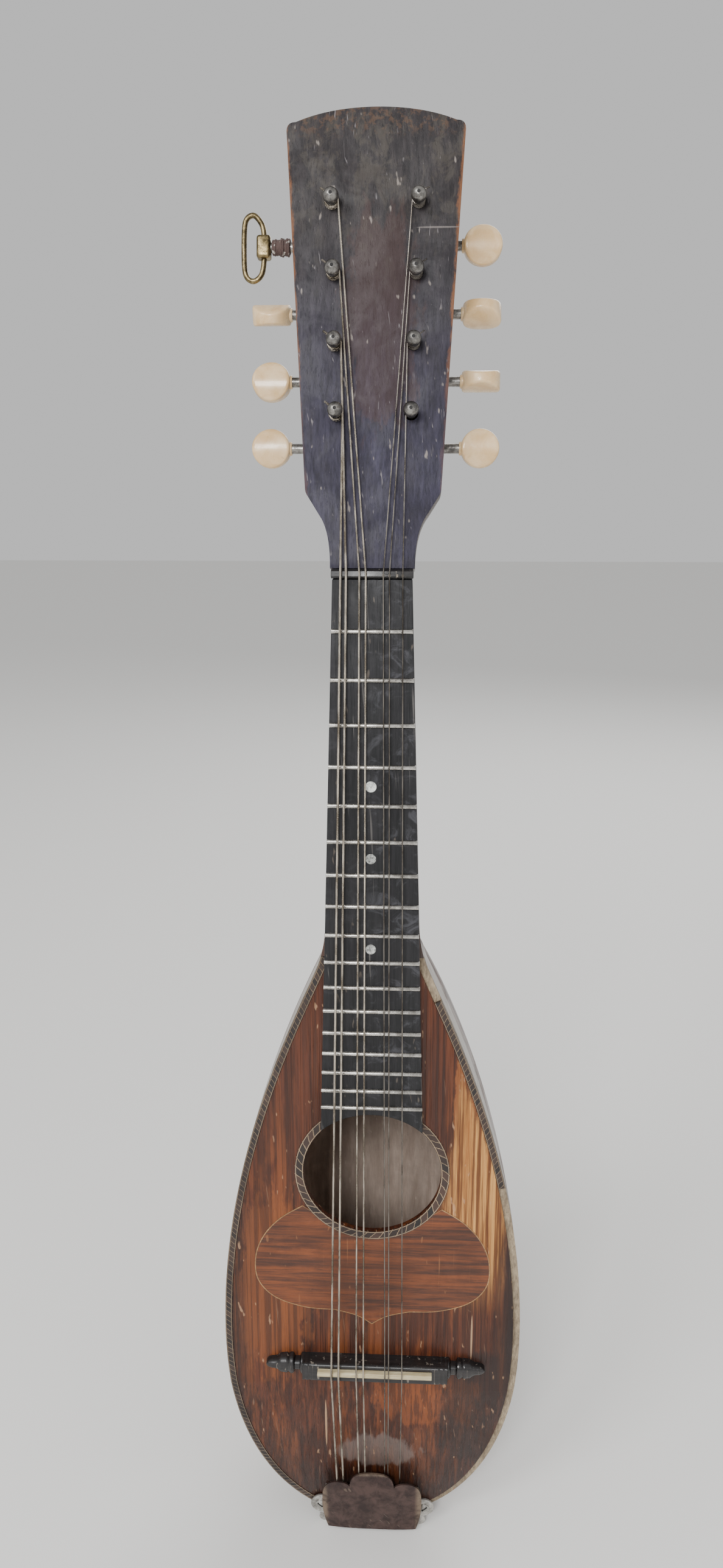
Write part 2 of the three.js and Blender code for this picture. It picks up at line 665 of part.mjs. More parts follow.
// One plate per side carries the four worms between pairs of lugs.
function tunerPlate(side) {
  const inner = POST_HALF_SPAN - PLATE_HALF_WIDTH;
  const outer = postX(1, 1) + PLATE_HALF_WIDTH;
  const low = postZ(POSTS_PER_SIDE) - GEAR_TO_WORM - PLATE_END;
  const high = postZ(1) + PLATE_END;
  const [xLow, xHigh] = side > 0 ? [inner, outer] : [-outer, -inner];
  let solid = block(xLow, xHigh, PLATE_FRONT, PLATE_BACK, low, high);
  for (let index = 1; index <= POSTS_PER_SIDE; index += 1) {
    const x = postX(side, index);
    const wormZ = postZ(index) - GEAR_TO_WORM;
    for (const hand of [-1, 1]) {
      const near = x + hand * (WORM_HALF_LENGTH + LUG_CLEARANCE);
      const away = near + hand * LUG_THICKNESS;
      solid = solid.add(block(
        Math.min(near, away),
        Math.max(near, away),
        PLATE_FRONT,
        SHAFT_BEHIND_FACE + LUG_HALF_HEIGHT,
        wormZ - LUG_HALF_HEIGHT,
        wormZ + LUG_HALF_HEIGHT,
      ));
    }
    const reach = WORM_HALF_LENGTH + LUG_CLEARANCE + 2 * LUG_THICKNESS;
    const bore = SHAFT_RADIUS + GAP;
    const bearing = rodX(bore, x - reach, x + reach, SHAFT_BEHIND_FACE, wormZ, BORE_SIDES);
    const hole = POST_RADIUS + 2 * GAP;
    const postHole = rodY(hole, PLATE_FRONT - 1, PLATE_BACK + 1, x, postZ(index), BORE_SIDES);
    solid = solid.subtract(bearing).subtract(postHole);
  }
  return solid;
}

// The worm's thread: a round-crested coil, right-handed about +X.
class Helix extends THREE.Curve {
  getPoint(share) {
    const turn = (share - 0.5) * WORM_TURNS;
    const angle = 2 * Math.PI * turn;
    return new THREE.Vector3(
      (turn + THREAD_SHIFT) * THREAD_PITCH,
      -THREAD_RADIUS * Math.sin(angle),
      THREAD_RADIUS * Math.cos(angle),
    );
  }
}

function wormThread() {
  const corners = [];
  const sides = 5;
  for (let i = 0; i < sides; i += 1) {
    const angle = (2 * Math.PI * i) / sides;
    const corner = new THREE.Vector2(Math.cos(angle), Math.sin(angle));
    corners.push(corner.multiplyScalar(WORM_THREAD_THICKNESS));
  }
  return solidOf(new THREE.ExtrudeGeometry(new THREE.Shape(corners), {
    steps: 14,
    extrudePath: new Helix(),
    bevelEnabled: false,
  }));
}

// Worm shaft, centred on its worm, reaching out to the button's bore.
function wormShaft(side, reach) {
  const tail = WORM_HALF_LENGTH + LUG_CLEARANCE + LUG_THICKNESS + GAP;
  const profile = [
    [0, -tail],
    [SHAFT_RADIUS, -tail],
    [SHAFT_RADIUS, -WORM_HALF_LENGTH],
    [WORM_CORE_RADIUS, -WORM_HALF_LENGTH],
    [WORM_CORE_RADIUS, WORM_HALF_LENGTH],
    [SHAFT_RADIUS, WORM_HALF_LENGTH],
    [SHAFT_RADIUS, reach],
    [0, reach],
  ].map(([radius, along]) => new THREE.Vector2(radius, along));
  const core = new THREE.LatheGeometry(profile, POST_SIDES);
  core.rotateZ((-side * Math.PI) / 2);
  return solidOf(core).add(wormThread());
}

function gearShape() {
  const points = [];
  const pitch = (2 * Math.PI) / GEAR_TEETH;
  const corners = [
    [GEAR_ROOT_RADIUS, -TOOTH_FOOT_SHARE],
    [GEAR_TIP_RADIUS, -TOOTH_CREST_SHARE],
    [GEAR_TIP_RADIUS, TOOTH_CREST_SHARE],
    [GEAR_ROOT_RADIUS, TOOTH_FOOT_SHARE],
  ];
  for (let tooth = 0; tooth < GEAR_TEETH; tooth += 1) {
    for (const [radius, share] of corners) {
      const angle = -Math.PI / 2 + (tooth + share) * pitch;
      points.push(new THREE.Vector2(radius * Math.cos(angle), radius * Math.sin(angle)));
    }
  }
  return new THREE.Shape(points);
}

// String post: a shaft with a ball end in front and its gear wheel behind.
function stringPost() {
  const gearBack = SHAFT_BEHIND_FACE + GEAR_THICKNESS / 2;
  const gearFront = SHAFT_BEHIND_FACE - GEAR_THICKNESS / 2;
  const profile = [[0, -gearBack - 1], [POST_RADIUS, -gearBack - 1], [POST_RADIUS, POST_SHOULDER]];
  const start = Math.asin(POST_RADIUS / POST_BALL_RADIUS);
  const steps = 5;
  for (let i = 0; i <= steps; i += 1) {
    const angle = Math.PI - start - ((Math.PI - start) * i) / steps;
    const radius = i === steps ? 0 : POST_BALL_RADIUS * Math.sin(angle);
    profile.push([radius, POST_BALL_HEIGHT + POST_BALL_RADIUS * Math.cos(angle)]);
  }
  const points = profile.map(([radius, height]) => new THREE.Vector2(radius, height));
  const shaft = new THREE.LatheGeometry(points, POST_SIDES);
  shaft.rotateX(Math.PI);
  return solidOf(shaft).add(plate(gearShape(), gearFront, gearBack));
}

// Tuning button: a round disc whose two faces are domed about the shaft's line.
function button(side) {
  const disc = rodY(BUTTON_RADIUS, -BUTTON_THICKNESS, BUTTON_THICKNESS, 0, 0, 24);
  const domeAt = (share) => {
    const fall = (BUTTON_THICKNESS - BUTTON_RIM) / 2;
    return BUTTON_THICKNESS / 2 - fall * share * share;
  };
  const steps = 8;
  const section = [];
  for (let i = 0; i <= steps; i += 1) {
    const share = (2 * i) / steps - 1;
    section.push([domeAt(share), share * BUTTON_RADIUS]);
  }
  for (let i = steps; i >= 0; i -= 1) {
    const share = (2 * i) / steps - 1;
    section.push([-domeAt(share), share * BUTTON_RADIUS]);
  }
  const lens = bar(section, -BUTTON_RADIUS, BUTTON_RADIUS);
  const mouth = -side * (BUTTON_RADIUS + 1);
  const floor = -side * (BUTTON_RADIUS - BUTTON_BORE_DEPTH);
  const [xLow, xHigh] = [Math.min(mouth, floor), Math.max(mouth, floor)];
  const bore = rodX(SHAFT_RADIUS + GAP, xLow, xHigh, 0, 0, BORE_SIDES);
  return disc.intersect(lens).subtract(bore);
}

// Thread wound on the shaft, the collar on its end and the loop that swings in the collar.
const COLLAR_X = -(BUTTON_CENTRE_X + COLLAR_BEYOND_BUTTON_CENTRE);
const WRAP_END_X = COLLAR_X + COLLAR_WIDTH / 2 + GAP;

function threadWrap() {
  const start = -(HEAD_HALF_WIDTH + GAP);
  const wrap = rodX(WRAP_RADIUS, WRAP_END_X, start, 0, 0);
  return wrap.subtract(rodX(SHAFT_RADIUS + GAP, WRAP_END_X - 1, start + 1, 0, 0, BORE_SIDES));
}

function collar() {
  const half = COLLAR_WIDTH / 2;
  const body = block(
    COLLAR_X - half,
    COLLAR_X + half,
    -COLLAR_HALF_DEPTH,
    COLLAR_HALF_DEPTH,
    -COLLAR_HALF_HEIGHT,
    COLLAR_HALF_HEIGHT,
  );
  const bore = new THREE.CylinderGeometry(
    LOOP_WIRE_RADIUS + GAP,
    LOOP_WIRE_RADIUS + GAP,
    4 * COLLAR_HALF_HEIGHT,
    12,
  );
  bore.rotateX(Math.PI / 2);
  bore.translate(COLLAR_X, 0, 0);
  return body.subtract(solidOf(bore));
}

// The loop's wire leaves the collar upwards, bends round and comes back from below.
function brassLoop() {
  const route = new THREE.CatmullRomCurve3([
    [0, 0.4], [0, 4.6], [-0.9, 8.4], [-3.6, 11.4], [-6.3, 10.2], [-7.2, 6],
    [-7.2, -6], [-6.2, -10.4], [-3.6, -11.7], [-0.9, -9.4], [0, -4.6], [0, -0.4],
  ].map(([x, z]) => new THREE.Vector3(x, 0, z)));
  const section = new THREE.Shape().absarc(0, 0, LOOP_WIRE_RADIUS, 0, 2 * Math.PI);
  return solidOf(new THREE.ExtrudeGeometry(section, {
    steps: 28,
    curveSegments: 4,
    extrudePath: route,
    bevelEnabled: false,
  })).translate([COLLAR_X, 0, 0]);
}

// Bridge: a straight block with a waist, a bead and a pointed tip at each end.
function bridge() {
  const half = BRIDGE_DEPTH / 2;
  const low = BRIDGE_BLOCK_HALF_WIDTH;
  const edge = [
    [low, half],
    [low + 1, half * BRIDGE_WAIST],
    [low + 3.5, half * BRIDGE_WAIST],
    [low + 4.5, half],
    [low + 9.5, half * BRIDGE_BEAD],
    [low + 11, half * BRIDGE_WAIST],
    [BRIDGE_HALF_WIDTH, half * BRIDGE_TIP],
  ];
  const outline = [
    ...[...edge].reverse(),
    ...edge.map(([x, z]) => [-x, z]),
    ...edge.map(([x, z]) => [-x, -z]).reverse(),
    ...edge.map(([x, z]) => [x, -z]),
  ].map(([x, z]) => new THREE.Vector2(BRIDGE_X + x, BRIDGE_Z + z));
  const wings = plate(new THREE.Shape(outline), -BRIDGE_WING_HEIGHT, 0);
  const middle = block(
    BRIDGE_X - low, BRIDGE_X + low, -BRIDGE_HEIGHT, 0, BRIDGE_Z - half, BRIDGE_Z + half,
  );
  const slot = SADDLE_THICKNESS / 2 + GAP;
  const slotHalf = SADDLE_HALF_WIDTH + GAP;
  return wings.add(middle).subtract(block(
    BRIDGE_X - slotHalf, BRIDGE_X + slotHalf,
    -FAR, -BRIDGE_HEIGHT + SADDLE_SEAT + GAP,
    SADDLE_Z - slot, SADDLE_Z + slot,
  ));
}

function saddle() {
  return block(
    BRIDGE_X - SADDLE_HALF_WIDTH, BRIDGE_X + SADDLE_HALF_WIDTH,
    -SADDLE_HEIGHT, -BRIDGE_HEIGHT + SADDLE_SEAT,
    SADDLE_Z - SADDLE_THICKNESS / 2, SADDLE_Z + SADDLE_THICKNESS / 2,
  );
}

// Tailpiece: a lobed plate on the top, bent under the tail into a flat foot.
function tailpieceBase() {
  const front = -GAP - TAIL_PLATE_THICKNESS;
  const half = TAIL_PLATE_HALF_WIDTH;
  let leaf = block(-half, half, front, -GAP, 0, TAIL_PLATE_TOP);
  for (const [, side] of SIDES) {
    leaf = leaf
      .add(rodY(LOBE_RADIUS, front, -GAP, side * (half + LOBE_OUT), LOBE_Z, 16))
      .add(rodY(SMALL_LOBE_RADIUS, front, -GAP, side * (half + SMALL_LOBE_OUT), SMALL_LOBE_Z, 12));
  }
  const foot = FLANGE_FRONT_Y;
  let base = canted(leaf)
    .add(block(-half, half, foot, foot + FLANGE_DEPTH, 0, FLANGE_THICKNESS));
  for (const [, side] of SIDES) {
    const near = side * (KNUCKLE_HALF_LENGTH + GAP);
    const away = near + side * EAR_THICKNESS;
    const [xLow, xHigh] = [Math.min(near, away), Math.max(near, away)];
    base = base.add(rodX(KNUCKLE_RADIUS, xLow, xHigh, HINGE_Y, HINGE_Z, 14)).add(block(
      xLow, xHigh,
      HINGE_Y, drop(HINGE_Z) - GAP - TAIL_PLATE_THICKNESS / 2,
      HINGE_Z - KNUCKLE_RADIUS, HINGE_Z + KNUCKLE_RADIUS,
    ));
  }
  const reach = KNUCKLE_HALF_LENGTH + 2 * EAR_THICKNESS;
  return base.subtract(rodX(PIN_RADIUS + GAP, -reach, reach, HINGE_Y, HINGE_Z, BORE_SIDES));
}

function coverShape() {
  const path = new THREE.Path();
  const lobe = COVER_LOBE_HALF_WIDTH;
  const dip = COVER_SHOULDER - 2;
  path.moveTo(COVER_FOOT_HALF_WIDTH, COVER_FOOT);
  path.quadraticCurveTo(COVER_HALF_WIDTH + 1, LOBE_Z, COVER_HALF_WIDTH, COVER_SHOULDER - 7);
  path.quadraticCurveTo(COVER_HALF_WIDTH - 1, COVER_SHOULDER, COVER_HALF_WIDTH - 7, COVER_SHOULDER);
  path.quadraticCurveTo(lobe + 2.5, COVER_SHOULDER, lobe + 0.5, dip);
  path.bezierCurveTo(lobe, COVER_TOP - 2, lobe - 2, COVER_TOP, 0, COVER_TOP);
  return mirroredShape(path.getPoints(6));
}

function tailpieceCover() {
  const leaf = canted(plate(coverShape(), -COVER_STANDOFF, -COVER_STANDOFF + COVER_THICKNESS));
  const half = KNUCKLE_HALF_LENGTH;
  const face = drop(HINGE_Z) - COVER_STANDOFF;
  const web = block(-half, half, face, HINGE_Y, HINGE_Z, HINGE_Z + KNUCKLE_RADIUS);
  const barrel = rodX(KNUCKLE_RADIUS, -half, half, HINGE_Y, HINGE_Z, 14);
  const bore = rodX(PIN_RADIUS + GAP, -half - 1, half + 1, HINGE_Y, HINGE_Z, BORE_SIDES);
  return leaf.add(web).add(barrel).subtract(bore);
}

function hingePin() {
  const reach = KNUCKLE_HALF_LENGTH + GAP + EAR_THICKNESS;
  return rodX(PIN_RADIUS, -reach, reach, HINGE_Y, HINGE_Z, 8);
}

// A string follows its points, with a level round section at each.
function stringThrough(points, radius) {
  const steps = points.length - 1;
  const geometry = new THREE.CylinderGeometry(radius, radius, 1, 8, steps);
  geometry.rotateX(Math.PI / 2);
  const position = geometry.attributes.position;
  for (let i = 0; i < position.count; i += 1) {
    const point = points[Math.round((position.getZ(i) + 0.5) * steps)];
    position.setXYZ(i, point.x + position.getX(i), point.y + position.getY(i), point.z);
  }
  return solidOf(geometry);
}

// From the tailpiece over the saddle and the nut to the inner side of its post.
function stringPoints(nutX, saddleX, radius, side, index, lift) {
  const inward = POST_RADIUS + POST_WINDING + radius;
  const end = new THREE.Vector3(postX(side, index) - side * inward, -lift, postZ(index));
  end.applyMatrix4(head.matrix);
  const overNut = -NUT_HEIGHT - GAP - radius;
  const overSaddle = -SADDLE_HEIGHT - GAP - radius;
  const onPlate = drop(STRING_END_Z) - GAP - TAIL_PLATE_THICKNESS - STRING_OVER_PLATE;
  const crest = SADDLE_THICKNESS / 2;
  const tailX = BRIDGE_X + saddleX * STRING_TAIL_SPREAD;
  return [
    new THREE.Vector3(tailX, onPlate, STRING_END_Z),
    new THREE.Vector3(BRIDGE_X + saddleX, overSaddle, SADDLE_Z - crest),
    new THREE.Vector3(BRIDGE_X + saddleX, overSaddle, SADDLE_Z + crest),
    new THREE.Vector3(nutX, overNut, NUT_Z),
    new THREE.Vector3(nutX, overNut, HEAD_Z),
    end,
  ];
}

// Assembly.
const mandolin = new THREE.Group();
mandolin.position.y = -FLANGE_MIDDLE_Y;
mandolin.add(
  meshOf('bowl', bowl(), FINISH.rosewood),
  meshOf('neck_block', neckBlock(), FINISH.rawWood),
  meshOf('tail_block', tailBlock(), FINISH.rawWood),
  meshOf('soundboard', soundboard(), FINISH.spruce),
  meshOf('pickguard', pickguard(), FINISH.walnut),
  meshOf('soundhole_ring', soundholeRing(), FINISH.inlay),
  meshOf('binding_left', binding(-1, 0, FAR), FINISH.inlay),
  meshOf(
    'binding_right',
    binding(1, HOLE_Z - BINDING_LOST_BELOW_HOLE, HOLE_Z + BINDING_LOST_ABOVE_HOLE),
    FINISH.inlay,
  ),
  meshOf('neck', neck(), FINISH.rosewood),
  meshOf('fingerboard', fingerboard(), FINISH.ebonised),
  meshOf('nut', nut(), FINISH.ebonised),
  meshOf('bridge', bridge(), FINISH.ebonised),
  meshOf('saddle', saddle(), FINISH.bone),
  meshOf('tailpiece_base', tailpieceBase(), FINISH.steel),
  meshOf('tailpiece_cover', tailpieceCover(), FINISH.bronze),
  meshOf('tailpiece_hinge_pin', hingePin(), FINISH.steel),
);

const RING_REACH = HOLE_HALF_HEIGHT + RING_WIDTH + BRACE_FROM_RING;
const BRACES = [
  ['brace_upper', HOLE_Z + RING_REACH],
  ['brace_middle', HOLE_Z - RING_REACH],
  ['brace_lower', BRIDGE_Z + BRIDGE_DEPTH],
];
for (const [name, z] of BRACES) {
  mandolin.add(meshOf(name, brace(z), FINISH.rawWood));
}

for (const [name, nutX, saddleX, radius, side, index, lift] of STRINGS) {
  const points = stringPoints(nutX, saddleX, radius, side, index, lift);
  mandolin.add(meshOf(name, stringThrough(points, radius), FINISH.wire));
}

head.add(
  meshOf('headstock', headstock(), FINISH.rosewood),
  meshOf('headstock_veneer', headVeneer(), FINISH.ebonised),
);
for (const [word, side] of SIDES) {
  head.add(meshOf(`tuner_plate_${word}`, tunerPlate(side), FINISH.steel));
}

// Rest angles of the buttons about their shafts; the top left button is the brass loop.
const BUTTON_TURNS = { left: [0, -64, -2, 4], right: [6, 72, 90, 5] };
const post = stringPost();
eachPost((word, side, index) => {
  const x = postX(side, index);
  const wormZ = postZ(index) - GEAR_TO_WORM;
  const postMesh = meshOf(`post_${word}_${index}`, post, FINISH.steel);
  postMesh.position.set(x, 0, postZ(index));

  const looped = side < 0 && index === 1;
  const buttonEdge = BUTTON_CENTRE_X - BUTTON_RADIUS + BUTTON_BORE_DEPTH - GAP;
  const shaftEnd = looped ? -WRAP_END_X : buttonEdge;
  const shaft = wormShaft(side, shaftEnd - Math.abs(x));
  const shaftMesh = meshOf(`worm_shaft_${word}_${index}`, shaft, FINISH.steel);
  shaftMesh.position.set(x, SHAFT_BEHIND_FACE, wormZ);
  head.add(postMesh, shaftMesh);

  const ends = new THREE.Group();
  ends.position.set(0, SHAFT_BEHIND_FACE, wormZ);
  head.add(ends);
  if (looped) {
    ends.add(
      meshOf('thread_wrap', threadWrap(), FINISH.thread),
      meshOf('loop_collar', collar(), FINISH.brass),
      meshOf('brass_loop', brassLoop(), FINISH.brass),
    );
    return;
  }
  const knob = meshOf(`button_${word}_${index}`, button(side), FINISH.button);
  knob.position.x = side * BUTTON_CENTRE_X;
  knob.rotation.x = THREE.MathUtils.degToRad(BUTTON_TURNS[word][index - 1]);
  ends.add(knob);
});
mandolin.add(head);

export default mandolin;
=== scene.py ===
import math
import bmesh
import bpy
from mathutils import Matrix, Vector, geometry


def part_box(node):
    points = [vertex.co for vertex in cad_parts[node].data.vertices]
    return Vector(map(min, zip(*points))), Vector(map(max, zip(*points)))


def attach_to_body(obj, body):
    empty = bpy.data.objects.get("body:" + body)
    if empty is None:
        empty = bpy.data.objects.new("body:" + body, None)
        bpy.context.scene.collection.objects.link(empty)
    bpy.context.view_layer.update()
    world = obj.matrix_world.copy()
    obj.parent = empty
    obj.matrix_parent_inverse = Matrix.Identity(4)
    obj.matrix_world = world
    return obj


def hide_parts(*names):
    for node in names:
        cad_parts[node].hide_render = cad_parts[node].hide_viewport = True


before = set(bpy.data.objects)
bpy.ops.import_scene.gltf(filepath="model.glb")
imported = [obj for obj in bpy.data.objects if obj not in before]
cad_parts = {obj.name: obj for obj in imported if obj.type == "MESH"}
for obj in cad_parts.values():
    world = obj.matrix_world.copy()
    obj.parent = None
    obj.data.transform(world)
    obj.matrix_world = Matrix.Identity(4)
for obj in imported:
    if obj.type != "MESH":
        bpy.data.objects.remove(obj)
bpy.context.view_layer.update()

MM = 0.001

# The bowl: fifteen thin bent staves of dark hardwood glued edge to edge, varnished outside
# and bare inside. A smooth cover strip runs round its rim under the soundboard, painted pale
# grey, strongest at the shoulders.
TOP_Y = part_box("soundboard")[0].y
TAIL_Z, WIDEST_Z, JOINT_Z = 2 * MM, 107 * MM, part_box("bowl")[1].z
BODY_HALF = 63 * MM
JOINT_HALF = 20.22 * MM
CANT_Z = 80 * MM
CANT_SLOPE = math.tan(math.radians(6))
BODY_DEPTH, DEEPEST_Z, HEEL_DEPTH = 105 * MM, 112 * MM, 38 * MM
RIM = 2.8 * MM
RIB_COUNT, RIB_STEPS, BOWL_LEVELS = 15, 8, 88
BOWL_WALL = 2.4 * MM
SEAM_DEPTH, NARROWEST_SEAM = 0.5 * MM, 6 * MM
BOWL_SQUARENESS, TAIL_SQUARENESS = 1.4, 2.3
BOWL_START, HEEL_RUN_ON = 2.3 * MM, 8 * MM


def srgb(red, green, blue):
    parts = [((c / 255 + 0.055) / 1.055) ** 2.4 if c > 10 else c / 3295 for c in (red, green, blue)]
    return (*parts, 1.0)


def put(tree, kind, values=None, **settings):
    made = tree.nodes.new("ShaderNode" + kind)
    for key, setting in settings.items():
        setattr(made, key, setting)
    for socket, value in (values or {}).items():
        if isinstance(value, bpy.types.NodeSocket):
            tree.links.new(value, made.inputs[socket])
        else:
            made.inputs[socket].default_value = value
    return made


def calc(tree, operation, *values, clamp=False):
    return put(tree, "Math", dict(enumerate(values)), operation=operation, use_clamp=clamp).outputs[0]


def step(tree, value, low, high, to_low=0.0, to_high=1.0):
    made = put(tree, "MapRange", {"Value": value, "From Min": low, "From Max": high,
                                  "To Min": to_low, "To Max": to_high},
               interpolation_type="SMOOTHSTEP")
    return made.outputs["Result"]


def tint(tree, factor, first, second):
    made = put(tree, "Mix", {0: factor, 6: first, 7: second}, data_type="RGBA")
    return made.outputs[2]


def stain(tree, under, mask, strength, shade):
    return tint(tree, calc(tree, "MULTIPLY", mask, strength), under, shade)


def away_from(tree, value, middle):
    return calc(tree, "ABSOLUTE", calc(tree, "SUBTRACT", value, middle))


def own_tone(tree, count):
    made = put(tree, "TexWhiteNoise", {"W": calc(tree, "FLOOR", count)}, noise_dimensions="1D")
    return made.outputs["Value"]


def noise(tree, vector, scale, detail=5.0, roughness=0.6, distortion=0.0):
    made = put(tree, "TexNoise", {"Vector": vector, "Scale": scale, "Detail": detail,
                                  "Roughness": roughness, "Distortion": distortion})
    return made.outputs["Fac"]


def stretched(tree, vector, scale, rotation=(0, 0, 0), location=(0, 0, 0)):
    made = put(tree, "Mapping", {"Vector": vector, "Scale": scale, "Rotation": rotation,
                                 "Location": location})
    return made.outputs["Vector"]


def shader_group(name, inputs, outputs):
    tree = bpy.data.node_groups.new(name, "ShaderNodeTree")
    for label, kind, value in inputs:
        socket = tree.interface.new_socket(label, in_out="INPUT", socket_type="NodeSocket" + kind)
        if value is not None:
            socket.default_value = value
    for label in outputs:
        tree.interface.new_socket(label, in_out="OUTPUT", socket_type="NodeSocketFloat")
    return tree, tree.nodes.new("NodeGroupInput").outputs, tree.nodes.new("NodeGroupOutput").inputs


def use(tree, group, **values):
    made = tree.nodes.new("ShaderNodeGroup")
    made.node_tree = group
    for label, value in values.items():
        socket = made.inputs[label.replace("_", " ")]
        if isinstance(value, bpy.types.NodeSocket):
            tree.links.new(value, socket)
        else:
            socket.default_value = value
    return made.outputs


# Wood figure: broad bands, fine lines and open pores along the long axis of the vector.
FIGURE, feed, out = shader_group(
    "wood_figure", [("Vector", "Vector", None), ("Scale", "Float", 60.0)], ["Bands", "Lines", "Height"])
bands = noise(FIGURE, feed["Vector"], calc(FIGURE, "MULTIPLY", feed["Scale"], 0.3), 3.0, 0.55, 0.4)
lines = noise(FIGURE, feed["Vector"], feed["Scale"], 7.0, 0.7, 0.2)
pores = noise(FIGURE, feed["Vector"], calc(FIGURE, "MULTIPLY", feed["Scale"], 3.2), 2.0, 0.5)
FIGURE.links.new(step(FIGURE, bands, 0.3, 0.7), out["Bands"])
FIGURE.links.new(step(FIGURE, lines, 0.32, 0.68), out["Lines"])
rough_wood = calc(FIGURE, "SUBTRACT", lines, step(FIGURE, pores, 0.56, 0.72, 0.0, 0.35))
FIGURE.links.new(rough_wood, out["Height"])

# Handling marks: long scratches, short pale flecks and soft blotches of grime.
MARKS, feed, out = shader_group(
    "handling_marks", [("Vector", "Vector", None), ("Slant", "Float", 0.0)],
    ["Scratches", "Flecks", "Grime"])
slanted = put(MARKS, "VectorRotate", {"Vector": feed["Vector"], "Angle": feed["Slant"],
                                      "Axis": (0, 1, 0)}).outputs[0]
hairs = noise(MARKS, stretched(MARKS, slanted, (900, 900, 24)), 1.0, 2.0, 0.5, 0.6)
chips = noise(MARKS, stretched(MARKS, slanted, (420, 420, 130)), 1.0, 2.0, 0.5)
grime = noise(MARKS, feed["Vector"], 38.0, 6.0, 0.65, 0.5)
MARKS.links.new(step(MARKS, hairs, 0.68, 0.76), out["Scratches"])
MARKS.links.new(step(MARKS, chips, 0.69, 0.75), out["Flecks"])
MARKS.links.new(step(MARKS, grime, 0.4, 0.65), out["Grime"])

# A soft-edged oval given in millimetres across (X) and along (Z). It marks worn places and stains,
# and on the soundboard also the painted shade at the lower right and the painted sheen above the tailpiece.
OVAL_GROUP, feed, out = shader_group(
    "soft_oval_group",
    [("Vector", "Vector", None), ("Centre X", "Float", 0.0), ("Centre Z", "Float", 0.0),
     ("Half Width", "Float", 10.0), ("Half Height", "Float", 10.0), ("Ragged", "Float", 0.4)],
    ["Mask"])
parts = put(OVAL_GROUP, "SeparateXYZ", {0: feed["Vector"]}).outputs
squares = []
for axis, centre, half_size in (("X", "Centre X", "Half Width"), ("Z", "Centre Z", "Half Height")):
    offset = calc(OVAL_GROUP, "MULTIPLY_ADD", parts[axis], 1000.0,
                  calc(OVAL_GROUP, "MULTIPLY", feed[centre], -1.0))
    share = calc(OVAL_GROUP, "DIVIDE", offset, feed[half_size])
    squares.append(calc(OVAL_GROUP, "MULTIPLY", share, share))
far_out = calc(OVAL_GROUP, "SQRT", calc(OVAL_GROUP, "ADD", *squares))
tatters = noise(OVAL_GROUP, stretched(OVAL_GROUP, feed["Vector"], (190, 190, 60)), 1.0, 6.0, 0.7)
torn = calc(OVAL_GROUP, "MULTIPLY_ADD", calc(OVAL_GROUP, "SUBTRACT", tatters, 0.5), feed["Ragged"], far_out)
OVAL_GROUP.links.new(step(OVAL_GROUP, torn, 1.12, 0.86), out["Mask"])


def new_material(name):
    made = bpy.data.materials.new(name)
    made.use_nodes = True
    tree = made.node_tree
    spot = put(tree, "TexCoord").outputs["Object"]
    return made, tree, tree.nodes["Principled BSDF"], spot


def attach(tree, shader, colour=None, roughness=None, height=None, relief=0.0002, metallic=None):
    if colour is not None:
        tree.links.new(colour, shader.inputs["Base Color"])
    if roughness is not None:
        tree.links.new(roughness, shader.inputs["Roughness"])
    if metallic is not None:
        tree.links.new(metallic, shader.inputs["Metallic"])
    if height is not None:
        bump = put(tree, "Bump", {"Height": height, "Strength": 1.0, "Distance": relief})
        tree.links.new(bump.outputs[0], shader.inputs["Normal"])


def figured_wood(name, dark, light, gloss=(0.35, 0.6), grain=(70, 70, 5), relief=0.00015,
                 dust=None, dust_share=0.35, coat=0.0):
    made, tree, shader, spot = new_material(name)
    figure = use(tree, FIGURE, Vector=stretched(tree, spot, grain), Scale=5.0)
    marks = use(tree, MARKS, Vector=spot)
    colour = tint(tree, figure["Lines"], dark, light)
    shade = tuple(c * 0.55 for c in dark[:3]) + (1.0,)
    colour = stain(tree, colour, figure["Bands"], 0.45, shade)
    colour = stain(tree, colour, marks["Grime"], 0.35, shade)
    if dust:
        colour = stain(tree, colour, marks["Scratches"], dust_share, dust)
        colour = stain(tree, colour, marks["Flecks"], dust_share, dust)
    roughness = step(tree, marks["Grime"], 0.0, 1.0, *gloss)
    attach(tree, shader, colour, roughness, figure["Height"], relief)
    shader.inputs["Coat Weight"].default_value = coat
    shader.inputs["Coat Roughness"].default_value = 0.25
    return made


def finished(name, bm, body, materials, replaces=(), crease=0.6):
    bmesh.ops.recalc_face_normals(bm, faces=bm.faces)
    for face in bm.faces:
        face.smooth = True
    for edge in bm.edges:
        edge.smooth = len(edge.link_faces) != 2 or edge.calc_face_angle(0) < crease
    mesh = bpy.data.meshes.new(name)
    bm.to_mesh(mesh)
    bm.free()
    for material in materials:
        mesh.materials.append(material)
    made = bpy.data.objects.new(name, mesh)
    bpy.context.scene.collection.objects.link(made)
    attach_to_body(made, body)
    if replaces:
        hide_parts(*replaces)
    return made


def sweep_grid(around, along, place):
    bm = bmesh.new()
    bmesh.ops.create_grid(bm, x_segments=around, y_segments=along, size=0.5)
    layer = bm.loops.layers.uv.new("around_along")
    for face in bm.faces:
        for loop in face.loops:
            loop[layer].uv = (loop.vert.co.x + 0.5, loop.vert.co.y + 0.5)
    for vert in bm.verts:
        vert.co = place(vert.co.x + 0.5, vert.co.y + 0.5)
    bmesh.ops.remove_doubles(bm, verts=bm.verts, dist=1e-6)
    return bm


def join_into(target, source):
    scrap = bpy.data.meshes.new("scrap")
    source.to_mesh(scrap)
    source.free()
    target.from_mesh(scrap)
    bpy.data.meshes.remove(scrap)


